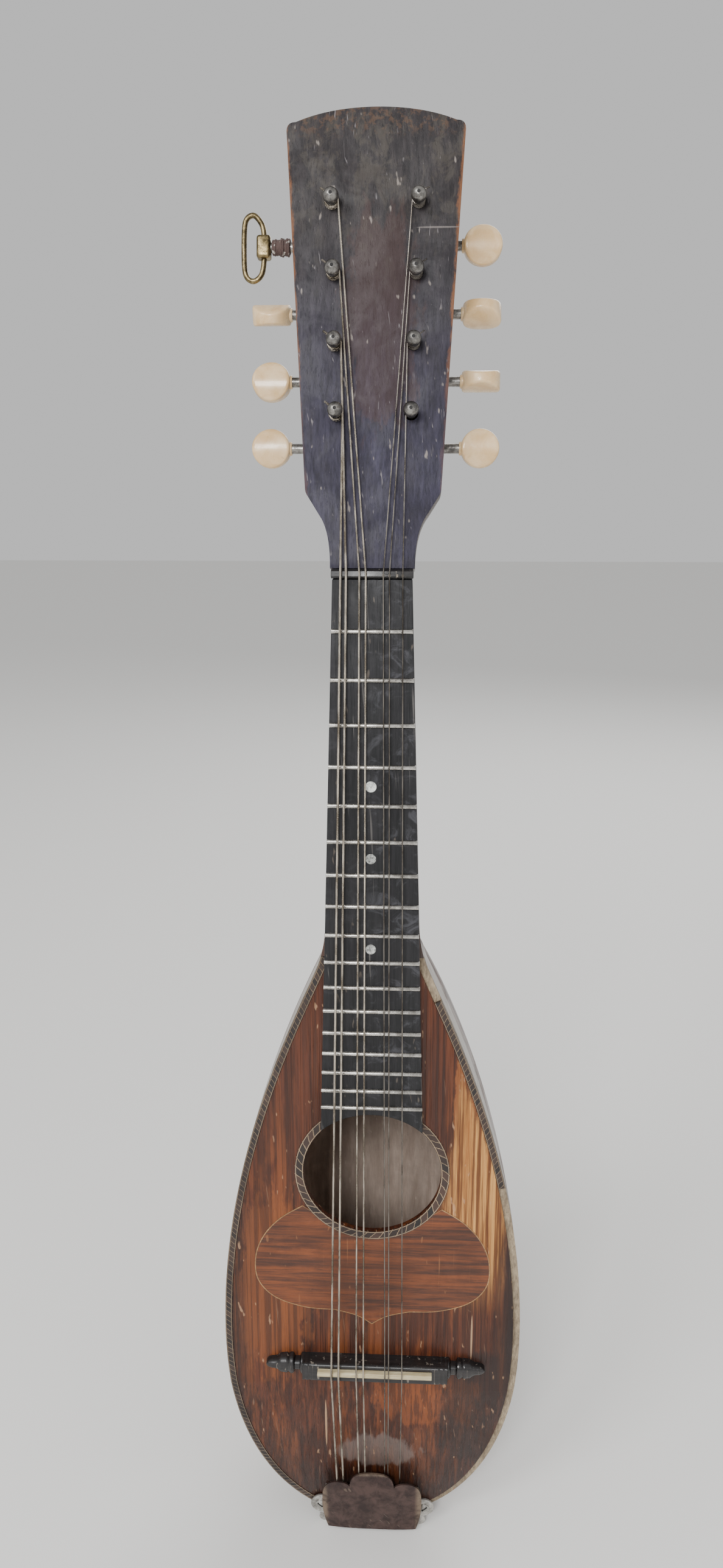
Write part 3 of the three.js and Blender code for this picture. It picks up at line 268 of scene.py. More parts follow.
def outline_curve(inset=0.0, steps=40):
    knots = [Vector((0, TAIL_Z)), Vector((30 * MM, TAIL_Z)), Vector((BODY_HALF, 32 * MM)),
             Vector((BODY_HALF, WIDEST_Z)), Vector((BODY_HALF, 200 * MM)),
             Vector((JOINT_HALF, JOINT_Z - 7 * MM)), Vector((JOINT_HALF, JOINT_Z))]
    low = geometry.interpolate_bezier(knots[0], knots[1], knots[2], knots[3], steps)
    high = geometry.interpolate_bezier(knots[3], knots[4], knots[5], knots[6], steps)
    line = low + high[1:]
    inner = []
    for index, point in enumerate(line):
        ahead = line[min(index + 1, len(line) - 1)] - line[max(index - 1, 0)]
        inward = Vector((-ahead.y, ahead.x)).normalized() * inset
        inner.append(Vector((max(0.0, point.x + inward.x), point.y + inward.y)))
    return inner


OUTLINE = outline_curve()


def body_half(z):
    for low, high in zip(OUTLINE, OUTLINE[1:]):
        if low.y <= z <= high.y and high.y > low.y:
            return low.x + (high.x - low.x) * (z - low.y) / (high.y - low.y)
    return 0.0 if z < TAIL_Z else JOINT_HALF


def body_depth(z):
    if z < DEEPEST_Z:
        along = min(1.0, (DEEPEST_Z - z) / (DEEPEST_Z - TAIL_Z))
        return BODY_DEPTH * (1 - along ** TAIL_SQUARENESS) ** (1 / TAIL_SQUARENESS)
    run = JOINT_Z + HEEL_RUN_ON - DEEPEST_Z
    fall = 1 - math.sqrt(max(0.0, 1 - ((z - DEEPEST_Z) / run) ** 2))
    full = 1 - math.sqrt(1 - ((JOINT_Z - DEEPEST_Z) / run) ** 2)
    return BODY_DEPTH - (BODY_DEPTH - HEEL_DEPTH) * min(1.0, fall / full)


def drop(z):
    return max(0.0, CANT_Z - z) * CANT_SLOPE


def bowl_point(inset):
    low = BOWL_START + inset

    def place(around, along):
        z = low + (JOINT_Z - low) * (1 - math.cos(along * math.pi / 2))
        half = max(0.1 * MM, body_half(z) - inset)
        depth = max(RIM + drop(z) + 0.01 * MM, body_depth(z) - inset)
        rim = RIM + drop(z)
        start = math.asin(min(1.0, rim / depth) ** BOWL_SQUARENESS)
        angle = start + (math.pi - 2 * start) * around
        seam = round(around * RIB_COUNT * RIB_STEPS) % RIB_STEPS == 0
        shrink = 1 - (SEAM_DEPTH / max(half, NARROWEST_SEAM) if seam and 0 < around < 1 else 0.0)
        cosine = math.cos(angle)
        x = half * math.copysign(abs(cosine) ** (1 / BOWL_SQUARENESS), cosine) * shrink
        y = depth * math.sin(angle) ** (1 / BOWL_SQUARENESS) * shrink
        return Vector((x, TOP_Y + max(rim, y), z))

    return place


bm = sweep_grid(RIB_COUNT * RIB_STEPS, BOWL_LEVELS, bowl_point(0.0))
lining = sweep_grid(RIB_COUNT * RIB_STEPS, BOWL_LEVELS, bowl_point(BOWL_WALL))
for face in lining.faces:
    face.material_index = 1
join_into(bm, lining)
bmesh.ops.bridge_loops(bm, edges=[edge for edge in bm.edges if edge.is_boundary])

bowl_finish, tree, shader, spot = new_material("bowl_staves")
figure = use(tree, FIGURE, Vector=stretched(tree, spot, (60, 60, 9)), Scale=6.0)
marks = use(tree, MARKS, Vector=spot, Slant=0.3)
place = put(tree, "SeparateXYZ", {0: spot}).outputs
stave = put(tree, "SeparateXYZ", {0: put(tree, "UVMap", uv_map="around_along").outputs[0]}).outputs["X"]
stave = calc(tree, "MULTIPLY", stave, float(RIB_COUNT))
stave_tone = own_tone(tree, stave)
colour = tint(tree, figure["Lines"], srgb(48, 29, 22), srgb(94, 58, 40))
colour = stain(tree, colour, stave_tone, 0.45, srgb(112, 68, 44))
colour = stain(tree, colour, figure["Bands"], 0.4, srgb(40, 25, 20))
from_seam = calc(tree, "SUBTRACT", 0.5, away_from(tree, calc(tree, "FRACT", stave), 0.5))
glue_line = step(tree, from_seam, 0.07, 0.02)
colour = stain(tree, colour, glue_line, 0.75, srgb(22, 14, 12))
colour = stain(tree, colour, marks["Scratches"], 0.4, srgb(150, 125, 105))
# Pale grey painted on the staves next to the top, strongest at the shoulders.
strip_depth = step(tree, place["Z"], 0.14, 0.24, 0.006, 0.015)
strip = step(tree, calc(tree, "DIVIDE", calc(tree, "SUBTRACT", place["Y"], TOP_Y), strip_depth), 1.1, 0.9)
edge_band = calc(tree, "MULTIPLY", strip, step(tree, place["Z"], 0.10, 0.20, 0.3, 0.85))
colour = tint(tree, edge_band, colour, srgb(156, 149, 141))
attach(tree, shader, colour, step(tree, marks["Grime"], 0.0, 1.0, 0.32, 0.55), figure["Height"], 0.0002)
shader.inputs["Coat Weight"].default_value = 0.15
# Painted light: the inside is coloured far paler than its bare wood, standing in for light falling in through
# the soundhole.
bowl_inside = figured_wood("bowl_inside", srgb(196, 174, 158), srgb(232, 212, 196), (0.75, 0.95),
                           (60, 60, 9), 0.0003, srgb(226, 212, 196), 0.4)
finished("bowl_staves", bm, "instrument", [bowl_finish, bowl_inside], ["bowl"])

# The neck block, tail block and three braces inside the bowl: sawn pale softwood, glued to
# the staves and to the underside of the top, and left bare.
raw_wood = figured_wood("raw_softwood", srgb(132, 108, 80), srgb(182, 152, 112), (0.8, 0.95),
                        (90, 90, 30), 0.0003)
for node in ("neck_block", "tail_block", "brace_upper", "brace_middle", "brace_lower"):
    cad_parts[node].data.materials.clear()
    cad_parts[node].data.materials.append(raw_wood)

# The soundboard: thin straight-grained spruce under dark red-brown varnish, bent back below
# the bridge. Strumming and the player's arm have worn it bare on one side, and its edge is
# rebated for the binding.
TOP_THICKNESS = 2.5 * MM
REBATE = 1.5 * MM
BINDING_WIDTH = 3 * MM
HOLE_Z = 184.83 * MM
HOLE_HALF_WIDTH, HOLE_HALF_HEIGHT = 28.4 * MM, 27.6 * MM


def whole_loop(half):
    return [(p.x, p.y) for p in half] + [(-p.x, p.y) for p in reversed(half) if p.x > 0]


def oval(half_width, half_height, count=96):
    turns = [2 * math.pi * index / count for index in range(count)]
    return [(half_width * math.sin(a), HOLE_Z + half_height * math.cos(a)) for a in turns]


def cut_plate(loops, front, back):
    bm = bmesh.new()
    edges = []
    for loop in loops:
        verts = [bm.verts.new((x, front, z)) for x, z in loop]
        edges += [bm.edges.new((verts[i - 1], verts[i])) for i in range(len(verts))]
    bmesh.ops.triangle_fill(bm, use_beauty=True, use_dissolve=False, edges=edges)
    raised = bmesh.ops.extrude_face_region(bm, geom=bm.faces[:])["geom"]
    moved = [item for item in raised if isinstance(item, bmesh.types.BMVert)]
    bmesh.ops.translate(bm, vec=(0, back - front, 0), verts=moved)
    bmesh.ops.recalc_face_normals(bm, faces=bm.faces)
    return bm


def ease_edges(bm, width, segments=2, angle=0.9):
    sharp = [edge for edge in bm.edges if len(edge.link_faces) == 2 and edge.calc_face_angle(0) > angle]
    bmesh.ops.bevel(bm, geom=sharp, offset=width, offset_type="OFFSET", segments=segments,
                    profile=0.5, affect="EDGES", clamp_overlap=True, material=-1)


def lean_back(bm):
    everything = bm.verts[:] + bm.edges[:] + bm.faces[:]
    bmesh.ops.bisect_plane(bm, geom=everything, dist=1e-6, plane_co=(0, 0, CANT_Z), plane_no=(0, 0, 1))
    for vert in bm.verts:
        vert.co.y += drop(vert.co.z)


def edge_strip(outer, inner, front, back, closed):
    bm = bmesh.new()
    count = len(outer)
    rails = [[bm.verts.new((x, front, z)) for x, z in line] for line in (outer, inner)]
    for rail in rails:
        for index in range(0 if closed else 1, count):
            bm.edges.new((rail[index - 1], rail[index]))
    bmesh.ops.bridge_loops(bm, edges=bm.edges[:])
    along = {}
    travelled = 0.0
    for index in range(count):
        if index:
            travelled += math.dist(outer[index - 1], outer[index])
        for across, line in enumerate((outer, inner)):
            along[tuple(round(c, 6) for c in line[index])] = (travelled, float(across))
    raised = bmesh.ops.extrude_face_region(bm, geom=bm.faces[:])["geom"]
    moved = [item for item in raised if isinstance(item, bmesh.types.BMVert)]
    bmesh.ops.translate(bm, vec=(0, back - front, 0), verts=moved)
    layer = bm.loops.layers.uv.new("along_strip")
    for face in bm.faces:
        spots = [along[tuple(round(c, 6) for c in (loop.vert.co.x, loop.vert.co.z))] for loop in face.loops]
        wraps = max(s[0] for s in spots) - min(s[0] for s in spots) > travelled / 2
        for loop, (length, across) in zip(face.loops, spots):
            start_over = wraps and length < travelled / 2
            loop[layer].uv = (length + (travelled if start_over else 0.0), across)
    return bm


inner_outline = outline_curve(BINDING_WIDTH)
hole = oval(HOLE_HALF_WIDTH, HOLE_HALF_HEIGHT)
bm = cut_plate([whole_loop(inner_outline), hole], TOP_Y, TOP_Y + TOP_THICKNESS)
lean_back(bm)
ease_edges(bm, 0.15 * MM)
outer_loop = whole_loop(OUTLINE[1:])
inner_loop = whole_loop(outline_curve(BINDING_WIDTH + 0.1 * MM)[1:])
ledge = edge_strip(outer_loop, inner_loop, TOP_Y + REBATE, TOP_Y + TOP_THICKNESS, True)
lean_back(ledge)
for face in ledge.faces:
    face.material_index = 1
join_into(bm, ledge)


def oval_patch_mask(tree, spot, centre, half_size, ragged):
    return use(tree, OVAL_GROUP, Vector=spot, Centre_X=centre[0], Centre_Z=centre[1],
               Half_Width=half_size[0], Half_Height=half_size[1], Ragged=ragged)["Mask"]


top_finish, tree, shader, spot = new_material("soundboard_varnish")
figure = use(tree, FIGURE, Vector=stretched(tree, spot, (150, 150, 4)), Scale=4.0)
marks = use(tree, MARKS, Vector=spot, Slant=0.08)
place = put(tree, "SeparateXYZ", {0: spot}).outputs
rag = calc(tree, "SUBTRACT", noise(tree, stretched(tree, spot, (260, 260, 40)), 1.0, 6.0, 0.7), 0.5)
x_mm = calc(tree, "MULTIPLY_ADD", rag, 9.0, calc(tree, "MULTIPLY", place["X"], 1000.0))
z_mm = calc(tree, "MULTIPLY_ADD", rag, 16.0, calc(tree, "MULTIPLY", place["Z"], 1000.0))
ridges = step(tree, noise(tree, stretched(tree, spot, (800, 800, 9)), 1.0, 3.0, 0.6), 0.46, 0.58)
varnish = tint(tree, figure["Lines"], srgb(54, 26, 14), srgb(98, 50, 27))
varnish = stain(tree, varnish, figure["Bands"], 0.5, srgb(66, 31, 18))
amber = step(tree, noise(tree, stretched(tree, spot, (120, 120, 14)), 1.0, 5.0, 0.7, 0.4), 0.5, 0.62)
amber = calc(tree, "MULTIPLY", amber, step(tree, place["Z"], 0.235, 0.17, 0.12, 0.4))
varnish = tint(tree, amber, varnish, srgb(142, 78, 36))
WARM_PATCHES = (((-42.0, 128.0), (17.0, 46.0), 2.2, srgb(136, 76, 36)),
                ((24.0, 74.0), (26.0, 14.0), 2.2, srgb(146, 78, 34)),
                ((38.0, 222.0), (5.0, 44.0), 2.0, srgb(160, 96, 48)))
for centre, half_size, ragged, shade in WARM_PATCHES:
    varnish = stain(tree, varnish, oval_patch_mask(tree, spot, centre, half_size, ragged), 0.5, shade)
varnish = stain(tree, varnish, ridges, 0.5, srgb(30, 14, 9))
bare_wood = tint(tree, figure["Lines"], srgb(146, 90, 44), srgb(206, 152, 88))
streaks = step(tree, noise(tree, stretched(tree, spot, (620, 620, 11)), 1.0, 4.0, 0.7), 0.46, 0.58)
bare_wood = stain(tree, bare_wood, streaks, 0.85, srgb(88, 46, 22))
right_limit = calc(tree, "MINIMUM", calc(tree, "MULTIPLY_ADD", z_mm, -0.36, 118.6), 54.5)
inward = calc(tree, "MULTIPLY_ADD", away_from(tree, z_mm, 172.0), -0.11, x_mm)
bare = calc(tree, "MULTIPLY", step(tree, inward, 28.0, 33.0),
            step(tree, calc(tree, "SUBTRACT", right_limit, x_mm), -1.5, 1.5))
bare = calc(tree, "MULTIPLY", bare, step(tree, z_mm, 116.0, 150.0))
colour = tint(tree, bare, varnish, bare_wood)
# Painted shade: the right edge below the hole, the lower right, the left edge and the tail end of the top are
# darkened almost to black.
painted_shade = calc(tree, "MULTIPLY", step(tree, x_mm, 50.0, 58.0), step(tree, z_mm, 172.0, 138.0))
low_right = oval_patch_mask(tree, spot, (52.0, 66.0), (24.0, 34.0), 1.2)
painted_shade = calc(tree, "MAXIMUM", painted_shade, calc(tree, "MULTIPLY", low_right, 0.85))
left_edge = calc(tree, "MULTIPLY", step(tree, x_mm, -47.0, -60.0), 0.75)
painted_shade = calc(tree, "MAXIMUM", painted_shade, left_edge)
foot = calc(tree, "MULTIPLY", step(tree, z_mm, 62.0, 18.0), 0.75)
painted_shade = calc(tree, "MAXIMUM", painted_shade, foot)
colour = stain(tree, colour, painted_shade, 0.85, srgb(30, 21, 19))
sheen = oval_patch_mask(tree, spot, (3.0, 43.0), (17.0, 9.0), 1.5)
colour = stain(tree, colour, sheen, 0.5, srgb(124, 112, 106))
colour = stain(tree, colour, marks["Flecks"], 0.55, srgb(186, 146, 112))
colour = stain(tree, colour, marks["Scratches"], 0.3, srgb(176, 140, 112))
for centre, half_size in (((-20.2, 57.8), (0.45, 13.0)), ((42.5, 107.0), (0.4, 11.0))):
    colour = stain(tree, colour, oval_patch_mask(tree, spot, centre, half_size, 0.5), 0.75, srgb(188, 152, 118))
roughness = calc(tree, "MAXIMUM", step(tree, marks["Grime"], 0.0, 1.0, 0.34, 0.52),
                 calc(tree, "MULTIPLY", bare, 0.75))
height = calc(tree, "SUBTRACT", figure["Height"], calc(tree, "MULTIPLY", marks["Flecks"], 0.4))
height = calc(tree, "SUBTRACT", height, calc(tree, "MULTIPLY", ridges, 0.5))
attach(tree, shader, colour, roughness, height, 0.00025)
shader.inputs["Coat Weight"].default_value = 0.12
shader.inputs["Specular IOR Level"].default_value = 0.35
shader.inputs["Coat Roughness"].default_value = 0.3
ledge_wood = figured_wood("rebate_wood", srgb(128, 112, 92), srgb(186, 168, 140), (0.7, 0.9),
                          (200, 200, 60), 0.0003, srgb(150, 84, 40), 0.5)
finished("soundboard_top", bm, "instrument", [top_finish, ledge_wood], ["soundboard"])

# Edge binding: short slanted tiles of dark wood between two pale lines, glued in the rebate.
# The player's side has lost most of its length.
TILE_LENGTH = 2.3 * MM
RIGHT_BINDING_LOW, RIGHT_BINDING_HIGH = 177.8 * MM, 262.8 * MM


def tile_finish(name, tile, slant, line_share, dark, darker, pale):
    made, tree, shader, spot = new_material(name)
    uv = put(tree, "UVMap", uv_map="along_strip").outputs[0]
    run = put(tree, "SeparateXYZ", {0: uv}).outputs
    wobble = calc(tree, "MULTIPLY", noise(tree, spot, 420.0, 3.0), 0.5)
    count = calc(tree, "ADD", calc(tree, "MULTIPLY_ADD", run["Y"], slant,
                                   calc(tree, "DIVIDE", run["X"], tile)), wobble)
    saw = calc(tree, "FRACT", count)
    crossing = step(tree, away_from(tree, saw, 0.5), 0.5 - line_share, 0.49)
    inner = away_from(tree, run["Y"], 0.5)
    border = calc(tree, "MULTIPLY", step(tree, inner, 0.35, 0.38), step(tree, inner, 0.46, 0.43))
    number = own_tone(tree, count)
    marks = use(tree, MARKS, Vector=spot)
    colour = tint(tree, number, dark, darker)
    colour = stain(tree, colour, calc(tree, "MAXIMUM", crossing, border), 0.85, pale)
    colour = stain(tree, colour, marks["Grime"], 0.4, srgb(34, 26, 23))
    height = calc(tree, "SUBTRACT", noise(tree, spot, 900.0, 3.0), crossing)
    attach(tree, shader, colour, step(tree, marks["Grime"], 0.0, 1.0, 0.35, 0.6), height, 0.00012)
    return made


binding_finish = tile_finish("binding_tiles", TILE_LENGTH, 0.9, 0.1, srgb(28, 22, 21), srgb(62, 46, 38),
                             srgb(138, 118, 94))
fine_outer, fine_inner = outline_curve(0.05 * MM, 90), outline_curve(BINDING_WIDTH - 0.1 * MM, 90)
for side, name, low, high in ((-1, "binding_left", 0.0, 1.0),
                              (1, "binding_right", RIGHT_BINDING_LOW, RIGHT_BINDING_HIGH)):
    pairs = [(a, b) for a, b in zip(fine_outer, fine_inner) if low <= a.y <= high and b.x > 0]
    rails = [[(side * p[k].x, p[k].y) for p in pairs] for k in (0, 1)]
    bm = edge_strip(rails[0], rails[1], TOP_Y - 0.12 * MM, TOP_Y + REBATE, False)
    lean_back(bm)
    finished(name + "_tiles", bm, "instrument", [binding_finish], [name])

# The soundhole ring: larger slanted tiles of the same dark and pale woods, glued round the
# edge of the oval hole.
RING_WIDTH = 3.5 * MM
RING_HALF_WIDTH, RING_HALF_HEIGHT = HOLE_HALF_WIDTH + RING_WIDTH, HOLE_HALF_HEIGHT + RING_WIDTH
ring_finish = tile_finish("ring_tiles", 3.9 * MM, 0.9, 0.09, srgb(22, 17, 16), srgb(70, 48, 38),
                          srgb(172, 148, 118))
bm = edge_strip(oval(RING_HALF_WIDTH, RING_HALF_HEIGHT, 160), oval(HOLE_HALF_WIDTH, HOLE_HALF_HEIGHT, 160),
                TOP_Y - 0.18 * MM, TOP_Y + 1.2 * MM, True)
finished("soundhole_ring_tiles", bm, "instrument", [ring_finish], ["soundhole_ring"])

# The pickguard: a thin plate of polished reddish wood let into the top below the hole, its
# grain across, edged with one thin pale line.
GUARD_HALF, GUARD_FOOT, GUARD_TOP = 49.2 * MM, 112 * MM, 168.8 * MM


def guard_line(grow):
    half, foot, rise = GUARD_HALF + grow, GUARD_FOOT - grow, GUARD_TOP - GUARD_FOOT + 2 * grow
    knots = [(0.0, 0.0), (0.13, 0.07), (0.32, 0.115), (0.58, 0.13), (0.84, 0.21), (0.985, 0.36),
             (1.0, 0.56), (0.925, 0.74), (0.78, 0.89), (0.59, 1.0)]
    line = []
    for low, high in ((0, 2), (2, 9)):
        for index in range(low, high):
            before, after = max(index - 1, low), min(index + 2, high)
            p = [Vector(knots[k]) for k in (before, index, index + 1, after)]
            handles = p[1] + (p[2] - p[0]) / 6, p[2] - (p[3] - p[1]) / 6
            line += geometry.interpolate_bezier(p[1], handles[0], handles[1], p[2], 9)[:-1]
    line.append(Vector(knots[-1]))
    return [Vector((p.x * half, foot + p.y * rise)) for p in line]


def guard_loop(grow):
    right = [(p.x, p.y) for p in guard_line(grow)
             if (p.x / RING_HALF_WIDTH) ** 2 + ((p.y - HOLE_Z) / RING_HALF_HEIGHT) ** 2 > 1.0]
    start = math.asin(max(-1.0, min(1.0, (HOLE_Z - right[-1][1]) / RING_HALF_HEIGHT)))
    arc = []
    for index in range(1, 24):
        angle = start + (math.pi - 2 * start) * index / 24
        arc.append((RING_HALF_WIDTH * math.cos(angle), HOLE_Z - RING_HALF_HEIGHT * math.sin(angle)))
    left = [(-x, z) for x, z in reversed(right) if x > 0]
    return right + arc + left


guard_finish = figured_wood("pickguard_wood", srgb(60, 27, 9), srgb(134, 68, 24), (0.38, 0.55),
                            (6, 120, 120), 0.0001, srgb(190, 130, 80), 0.2, 0.15)
bm = cut_plate([guard_loop(0.0)], TOP_Y - 0.1 * MM, TOP_Y + 1.2 * MM)
finished("pickguard_plate", bm, "instrument", [guard_finish], ["pickguard"])
line_finish = figured_wood("guard_line_wood", srgb(138, 100, 62), srgb(182, 144, 98), (0.4, 0.6),
                           (200, 200, 200), 0.0001)
bm = edge_strip(guard_loop(0.0), guard_loop(-0.4 * MM), TOP_Y - 0.16 * MM, TOP_Y + 0.5 * MM, True)
finished("pickguard_line", bm, "instrument", [line_finish])

# The neck: one piece of dark stained hardwood, carved to a rounded back that swells into the
# heel and glued to the neck block.
NECK_DEPTH, HEEL_SWELL, HEEL_LENGTH, NECK_ROUNDNESS = 14 * MM, 24 * MM, 45 * MM, 1.1
BOARD_SPREAD, NUT_WIDTH = 0.0588, 28.6 * MM
NUT_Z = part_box("nut")[0].z
HEAD_ANGLE = math.radians(10)
HEAD_ORIGIN = Vector((0, TOP_Y - 4 * MM, NUT_Z + 3.5 * MM))
HEAD_FRAME = Matrix.Translation(HEAD_ORIGIN) @ Matrix.Rotation(-HEAD_ANGLE, 4, "X")


def board_half(z):
    return (NUT_WIDTH + (NUT_Z - z) * BOARD_SPREAD) / 2


def neck_point(around, along):
    angle = 2 * math.pi * around
    heel = JOINT_Z + HEEL_LENGTH - (JOINT_Z + along * (NUT_Z - JOINT_Z))
    heel = max(0.0, min(1.0, heel / HEEL_LENGTH))
    depth = NECK_DEPTH + HEEL_SWELL * heel ** 2.5
    y = depth * max(0.0, math.sin(angle)) ** (1 / NECK_ROUNDNESS)
    scarf = (0.3 * MM + (min(y, NECK_DEPTH) + 4 * MM) * math.sin(HEAD_ANGLE)) / math.cos(HEAD_ANGLE)
    top = HEAD_ORIGIN.z - scarf
    z = JOINT_Z + 0.3 * MM + (top - JOINT_Z - 0.3 * MM) * along
    flare = 1.6 * MM * max(0.0, 1 - (z - JOINT_Z) / (14 * MM)) ** 2
    cosine = math.cos(angle)
    x = (board_half(z) + flare) * math.copysign(abs(cosine) ** (1 / NECK_ROUNDNESS), cosine)
    return Vector((x, TOP_Y + y, z))


neck_finish = figured_wood("neck_hardwood", srgb(46, 28, 22), srgb(84, 52, 38), (0.28, 0.5), (90, 90, 5),
                           0.00015, srgb(150, 118, 92), 0.25, 0.2)
bm = sweep_grid(96, 90, neck_point)
bmesh.ops.holes_fill(bm, edges=[edge for edge in bm.edges if edge.is_boundary])
finished("neck_shaft", bm, "instrument", [neck_finish], ["neck"])

# The fingerboard: black-stained hardwood glued on the neck, its lower end cut to the curve of
# the soundhole. Seventeen brass-silver frets are hammered into it, with three round markers.
SCALE, SCALE_END_Z, FRET_COUNT = 335 * MM, 92 * MM, 17
BOARD_THICKNESS, BOARD_END_Z, BOARD_END_GAP = 5 * MM, 214 * MM, 1.8 * MM
FRET_WIDTH, FRET_HEIGHT = 1.9 * MM, 1.0 * MM
MARKERS = ((5, 2.1 * MM, 1.0), (7, 2.0 * MM, 0.45), (10, 2.0 * MM, 0.7))


def fret_z(number):
    return SCALE_END_Z + SCALE * 2 ** (-number / 12)


end_half_width, end_half_height = HOLE_HALF_WIDTH + BOARD_END_GAP, HOLE_HALF_HEIGHT + BOARD_END_GAP
arc = []
for index in range(-20, 21):
    x = board_half(BOARD_END_Z) * index / 20
    arc.append((x, HOLE_Z + end_half_height * math.sqrt(1 - (x / end_half_width) ** 2)))
board_top = NUT_Z - 0.3 * MM
outline = arc + [(board_half(board_top), board_top), (-board_half(board_top), board_top)]
bm = cut_plate([outline], TOP_Y - BOARD_THICKNESS, TOP_Y)
ease_edges(bm, 0.35 * MM, 3)
board_finish, tree, shader, spot = new_material("fingerboard_black")
figure = use(tree, FIGURE, Vector=stretched(tree, spot, (140, 140, 6)), Scale=5.0)
marks = use(tree, MARKS, Vector=spot, Slant=0.05)
place = put(tree, "SeparateXYZ", {0: spot}).outputs
colour = tint(tree, figure["Lines"], srgb(14, 15, 17), srgb(32, 31, 34))
smear = step(tree, noise(tree, stretched(tree, spot, (120, 120, 150)), 1.0, 6.0, 0.7, 0.9), 0.5, 0.7)
smear = calc(tree, "MULTIPLY", smear, step(tree, place["X"], -0.006, 0.006, 0.25, 1.0))
colour = stain(tree, colour, smear, 0.42, srgb(92, 92, 98))
colour = stain(tree, colour, marks["Scratches"], 0.35, srgb(130, 126, 122))
colour = stain(tree, colour, marks["Flecks"], 0.35, srgb(128, 116, 104))
attach(tree, shader, colour, step(tree, marks["Grime"], 0.0, 1.0, 0.38, 0.62), figure["Height"], 0.00012)
shader.inputs["Specular IOR Level"].default_value = 0.35
finished("fingerboard_blank", bm, "instrument", [board_finish], ["fingerboard"])


def metal(name, dull, bright, gloss, scale=260.0, relief=0.00006, spot_colour=None, metallic=1.0):
    made, tree, shader, spot = new_material(name)
    cloud = noise(tree, spot, scale, 6.0, 0.7, 0.3)
    fine = noise(tree, spot, scale * 6, 3.0, 0.6)
    colour = tint(tree, step(tree, cloud, 0.35, 0.65), dull, bright)
    if spot_colour:
        colour = tint(tree, step(tree, fine, 0.58, 0.7, 0.0, 0.7), colour, spot_colour)
    shader.inputs["Metallic"].default_value = metallic
    attach(tree, shader, colour, step(tree, fine, 0.3, 0.7, *gloss), cloud, relief)
    return made


fret_metal = metal("fret_silver", srgb(150, 146, 140), srgb(205, 202, 196), (0.18, 0.34))


def bar_along_x(section, x_low, x_high):
    bm = bmesh.new()
    face = bm.faces.new([bm.verts.new((x_low, y, z)) for y, z in section])
    raised = bmesh.ops.extrude_face_region(bm, geom=[face])["geom"]
    moved = [item for item in raised if isinstance(item, bmesh.types.BMVert)]
    bmesh.ops.translate(bm, vec=(x_high - x_low, 0, 0), verts=moved)
    bmesh.ops.recalc_face_normals(bm, faces=bm.faces)
    return bm


frets = bmesh.new()
for number in range(1, FRET_COUNT + 1):
    z, half = fret_z(number), board_half(fret_z(number)) - 0.1 * MM
    crown = [(math.pi * turn / 10) for turn in range(11)]
    section = [(TOP_Y - BOARD_THICKNESS + 0.2 * MM - (FRET_HEIGHT + 0.2 * MM) * math.sin(a),
                z + FRET_WIDTH / 2 * math.cos(a)) for a in crown]
    one = bar_along_x(section, -half, half)
    ease_edges(one, 0.25 * MM, 2, 1.2)
    join_into(frets, one)
finished("frets", frets, "instrument", [fret_metal])

for number, radius, share in MARKERS:
    pearl = metal(f"marker_pearl_{number}", srgb(*[c * share for c in (150, 152, 150)]),
                  srgb(*[min(255, c * (share * 0.4 + 0.6)) for c in (236, 238, 232)]),
                  (0.1, 0.3), 700.0, metallic=0.0)
    middle = (fret_z(number - 1) + fret_z(number)) / 2
    seat = Matrix.Translation((-0.4 * MM, TOP_Y - BOARD_THICKNESS, middle))
    bm = bmesh.new()
    bmesh.ops.create_cone(bm, cap_ends=True, segments=32, radius1=radius, radius2=radius,
                          depth=0.16 * MM, matrix=seat @ Matrix.Rotation(math.pi / 2, 4, "X"))
    finished(f"marker_fret_{number}", bm, "instrument", [pearl])

# The nut: a strip of stained black wood glued across the end of the fingerboard, with one
# filed notch for each string.
NUT_STRINGS = (-11.2, -9.2, -4.5, -2.2, 4.0, 6.2, 8.9, 10.9)
NUT_HALF, NUT_TOP = 14.7 * MM, TOP_Y - 6.2 * MM
bm = bar_along_x([(TOP_Y, NUT_Z), (NUT_TOP + 0.7 * MM, NUT_Z), (NUT_TOP, NUT_Z + 0.9 * MM),
                  (NUT_TOP + 0.4 * MM, NUT_Z + 2.6 * MM), (TOP_Y - 4.6 * MM, NUT_Z + 3.3 * MM),
                  (TOP_Y, NUT_Z + 2.5 * MM)], -NUT_HALF, NUT_HALF)
ease_edges(bm, 0.3 * MM)
black_wood = figured_wood("stained_black_wood", srgb(16, 15, 16), srgb(44, 40, 40), (0.25, 0.5), (10, 90, 90),
                          0.0001, srgb(150, 140, 128), 0.5, 0.2)
finished("nut_strip", bm, "instrument", [black_wood], ["nut"])
slots = bmesh.new()
for x in NUT_STRINGS:
    notch = bar_along_x([(NUT_TOP - 0.12 * MM, NUT_Z + 0.6 * MM), (NUT_TOP - 0.12 * MM, NUT_Z + 1.6 * MM),
                         (NUT_TOP + 0.1 * MM, NUT_Z + 1.6 * MM), (NUT_TOP + 0.1 * MM, NUT_Z + 0.6 * MM)],
                        x * MM - 0.35 * MM, x * MM + 0.35 * MM)
    join_into(slots, notch)
notch_wood = figured_wood("notch_worn_wood", srgb(96, 88, 78), srgb(150, 138, 120))
finished("nut_notches", slots, "instrument", [notch_wood])

# The headstock: a flat board scarfed to the neck, faced with a thin black veneer whose edges
# are rubbed back to the orange wood below.
HEAD_THICKNESS, VENEER = 13 * MM, 1.5 * MM
HEAD_LENGTH, HEAD_HALF, HEAD_SHOULDER = 157.2 * MM, 31 * MM, 24.2 * MM
POST_ROWS, POST_LOW, POST_STEP = 4, 53.9 * MM, 23.9 * MM
POST_SPAN, POST_SPLAY = 13.2 * MM, 0.63 * MM


def post_place(side, index):
    below = POST_ROWS - index
    return side * (POST_SPAN + below * POST_SPLAY), POST_LOW + below * POST_STEP


